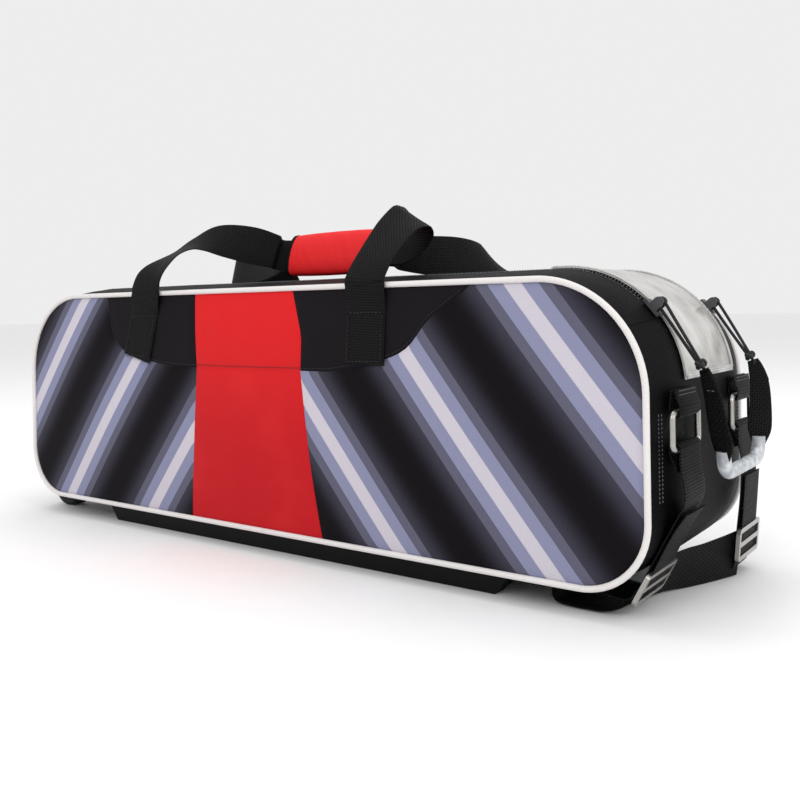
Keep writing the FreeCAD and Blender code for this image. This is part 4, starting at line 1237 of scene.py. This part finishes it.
def vinyl_hem():
    """The flap's folded, stitched edge."""
    s_low, s_high = on_top(VINYL_FROM), on_right_shoulder(VINYL_END)
    sides = [[over(s, side * (LID_HALF - 2.6), CROWN + 2.9) for s in np.linspace(s_low + 2, s_high - 2.6, 40)]
             for side in (-1, 1)]
    foot = [over(s_high - 2.6, y, CROWN + 2.9) for y in np.linspace(-LID_HALF + 2.6, LID_HALF - 2.6, 16)]
    across = [(0, 1, 0)] * len(sides[0])
    parts = []
    for line in sides:
        parts.append(ribbon_data([(p, w, 2.6) for p, w in zip(line, across)], 1.3, 2))
    nx, nz = outline(s_high - 2.6)[2:]
    parts.append(ribbon_data([(p, (nz, 0, -nx), 2.6) for p in foot], 1.3, 2))
    verts, faces, uv = joined(parts)
    piece("end_flap_hem", verts, faces, milky_vinyl, "lid_end", uv=uv, slot="clear_vinyl")
    threads = []
    for line in sides:
        lifted = [np.array(p) + np.array([0, 0, 0.5]) for p in line]
        threads += thread_run(lifted, (0.5, 0, 0.85), length=2.4, gap=1.6, radius=0.3)
    threads += thread_run([np.array(p) + np.array([nx, 0, nz]) * 0.6 for p in foot], (nx, 0, nz),
                          length=2.4, gap=1.6, radius=0.3)
    verts, faces, uv = joined(threads)
    piece("end_flap_stitching", verts, faces, thread_white, "lid_end", uv=uv, slot="clear_vinyl")


vinyl_hem()


# ---- inside: cups and dividers on the board ----

CUP_HALF_LENGTH, CUP_HALF_WIDTH, CUP_HEIGHT = 80.0, 96.0, 25.0
BOARD_TOP = box_mm("base_board")[1][2]
DISH_RADIUS = 109.0
CUP_GRID = 24


def ball_cup(name, x_middle):
    """A foam block with rounded edges and a round dish for a ball."""
    rows_top, rows_low = [], []
    dish_centre = BOARD_TOP + CUP_HEIGHT + DISH_RADIUS - 16.0
    for i in range(CUP_GRID + 1):
        top, low = [], []
        for j in range(CUP_GRID + 1):
            u, v = 2 * i / CUP_GRID - 1, 2 * j / CUP_GRID - 1
            x, y = u * CUP_HALF_LENGTH, v * CUP_HALF_WIDTH
            edge = min(CUP_HALF_LENGTH - abs(x), CUP_HALF_WIDTH - abs(y))
            z = BOARD_TOP + CUP_HEIGHT - 5.0 * (1 - min(1.0, edge / 9.0)) ** 2
            inside_dish = DISH_RADIUS ** 2 - x * x - y * y
            if inside_dish > 0:
                z = min(z, max(BOARD_TOP + 6, dish_centre - math.sqrt(inside_dish)))
            top.append((x_middle + x, y, z))
            low.append((x_middle + x * 0.985, y * 0.985, BOARD_TOP + 0.2))
        rows_top.append(top)
        rows_low.append(low)
    cup = slab(f"{name}_foam", rows_top, rows_low, foam_grey, "bag", node=name, slot="foam",
               crease=35)


def divider(name, x_middle):
    """A lined foam board across the bag, rounded along its edges."""
    low, high = box_mm(name)
    across = np.linspace(low[1] + 0.5, high[1] - 0.5, 22)
    up = np.linspace(low[2], high[2], 18)
    half = (high[0] - low[0]) / 2
    near, far = [], []
    for y in across:
        row_near, row_far = [], []
        for z in up:
            edge = min(high[2] - z, y - low[1], high[1] - y)
            swell = half * (0.45 + 0.55 * min(1.0, edge / 5.0) ** 0.5)
            row_near.append((x_middle + swell, y, z))
            row_far.append((x_middle - swell, y, z))
        near.append(row_near)
        far.append(row_far)
    board = slab(f"{name}_panel", near, far, lining, "bag", node=name, slot="foam", crease=35)


for name_end, x_end in (("left", -257.0), ("middle", 0.0), ("right", 257.0)):
    ball_cup("ball_cup_" + name_end, x_end)
for name_end in ("left", "right"):
    low_end, high_end = box_mm("divider_" + name_end)
    divider("divider_" + name_end, (low_end[0] + high_end[0]) / 2)


# ---- camera, light and floor ----

def add_camera():
    """The view from a little above the wheels, 36 degrees round from the front."""
    data = bpy.data.cameras.new("camera")
    data.sensor_width = 36.0
    data.lens = 40.37
    data.shift_y = -0.11
    camera = bpy.data.objects.new("camera", data)
    bpy.context.scene.collection.objects.link(camera)
    yaw, roll = math.radians(36.1), math.radians(-0.9)
    right = Vector((math.cos(yaw), math.sin(yaw), 0))
    forward = Vector((-math.sin(yaw), math.cos(yaw), 0))
    up = Vector((0, 0, 1))
    level = right * math.cos(roll) + up * math.sin(roll)
    above = up * math.cos(roll) - right * math.sin(roll)
    turn = Matrix((level, above, -forward)).transposed()
    camera.matrix_world = Matrix.Translation((0.630, -0.747, 0.236)) @ turn.to_4x4()
    bpy.context.scene.camera = camera


def add_light(name, place, aim, size, power):
    data = bpy.data.lights.new(name, "AREA")
    data.shape = "RECTANGLE"
    data.size, data.size_y = size
    data.energy = power
    lamp = bpy.data.objects.new(name, data)
    bpy.context.scene.collection.objects.link(lamp)
    lamp.location = place
    lamp.rotation_mode = "QUATERNION"
    lamp.rotation_quaternion = (Vector(aim) - Vector(place)).to_track_quat("-Z", "Y")


def add_stage():
    """A flat pale floor under soft white surroundings."""
    net = Net("pale_floor", (0.93, 0.93, 0.93), rough=0.9, specular=0.1)
    speckle = net.noise(40.0, 2.0)
    net.color(net.mix(speckle, (0.92, 0.92, 0.92), (0.95, 0.95, 0.95)))
    mesh = bpy.data.meshes.new("floor")
    reach = 30.0
    mesh.from_pydata([(-reach, -reach, 0), (reach, -reach, 0), (reach, reach, 0), (-reach, reach, 0)],
                     [], [(0, 1, 2, 3)])
    mesh.materials.append(net.material)
    floor = bpy.data.objects.new("floor", mesh)
    bpy.context.scene.collection.objects.link(floor)
    world = bpy.data.worlds.new("soft_white")
    world.use_nodes = True
    world.node_tree.nodes["Background"].inputs[0].default_value = (1, 1, 1, 1)
    world.node_tree.nodes["Background"].inputs[1].default_value = 0.85
    bpy.context.scene.world = world
    bpy.context.scene.view_settings.view_transform = "Standard"


add_camera()
add_stage()
add_light("key", (0.4, -2.4, 2.2), (0, 0, 0.15), (2.0, 1.6), 22)
add_light("top", (-0.2, 0.3, 2.6), (0, 0, 0.1), (2.6, 1.6), 18)
add_light("end", (2.6, -0.4, 1.2), (0.3, 0, 0.15), (1.4, 1.4), 14)

# ---- the frame's own pieces that stay ----

STAYING = {
    "base_skid": moulded, "wheel_housing_front": moulded, "wheel_housing_back": moulded,
    "wheel_tyre_front": tyre_black, "wheel_tyre_back": tyre_black,
    "wheel_hub_front": hub_grey, "wheel_hub_back": hub_grey,
    "wheel_axle_front": steel, "wheel_axle_back": steel, "skid_screws": steel,
    "ring_front": nickel, "ring_back": nickel, "tri_glide_front": nickel, "tri_glide_back": nickel,
    "zip_slider_front": dark_metal, "zip_slider_back": dark_metal,
    "zip_pull_front": dark_metal, "zip_pull_back": dark_metal, "base_board": moulded,
}
for node_name, material in STAYING.items():
    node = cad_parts[node_name]
    node.data.materials.clear()
    node.data.materials.append(material)
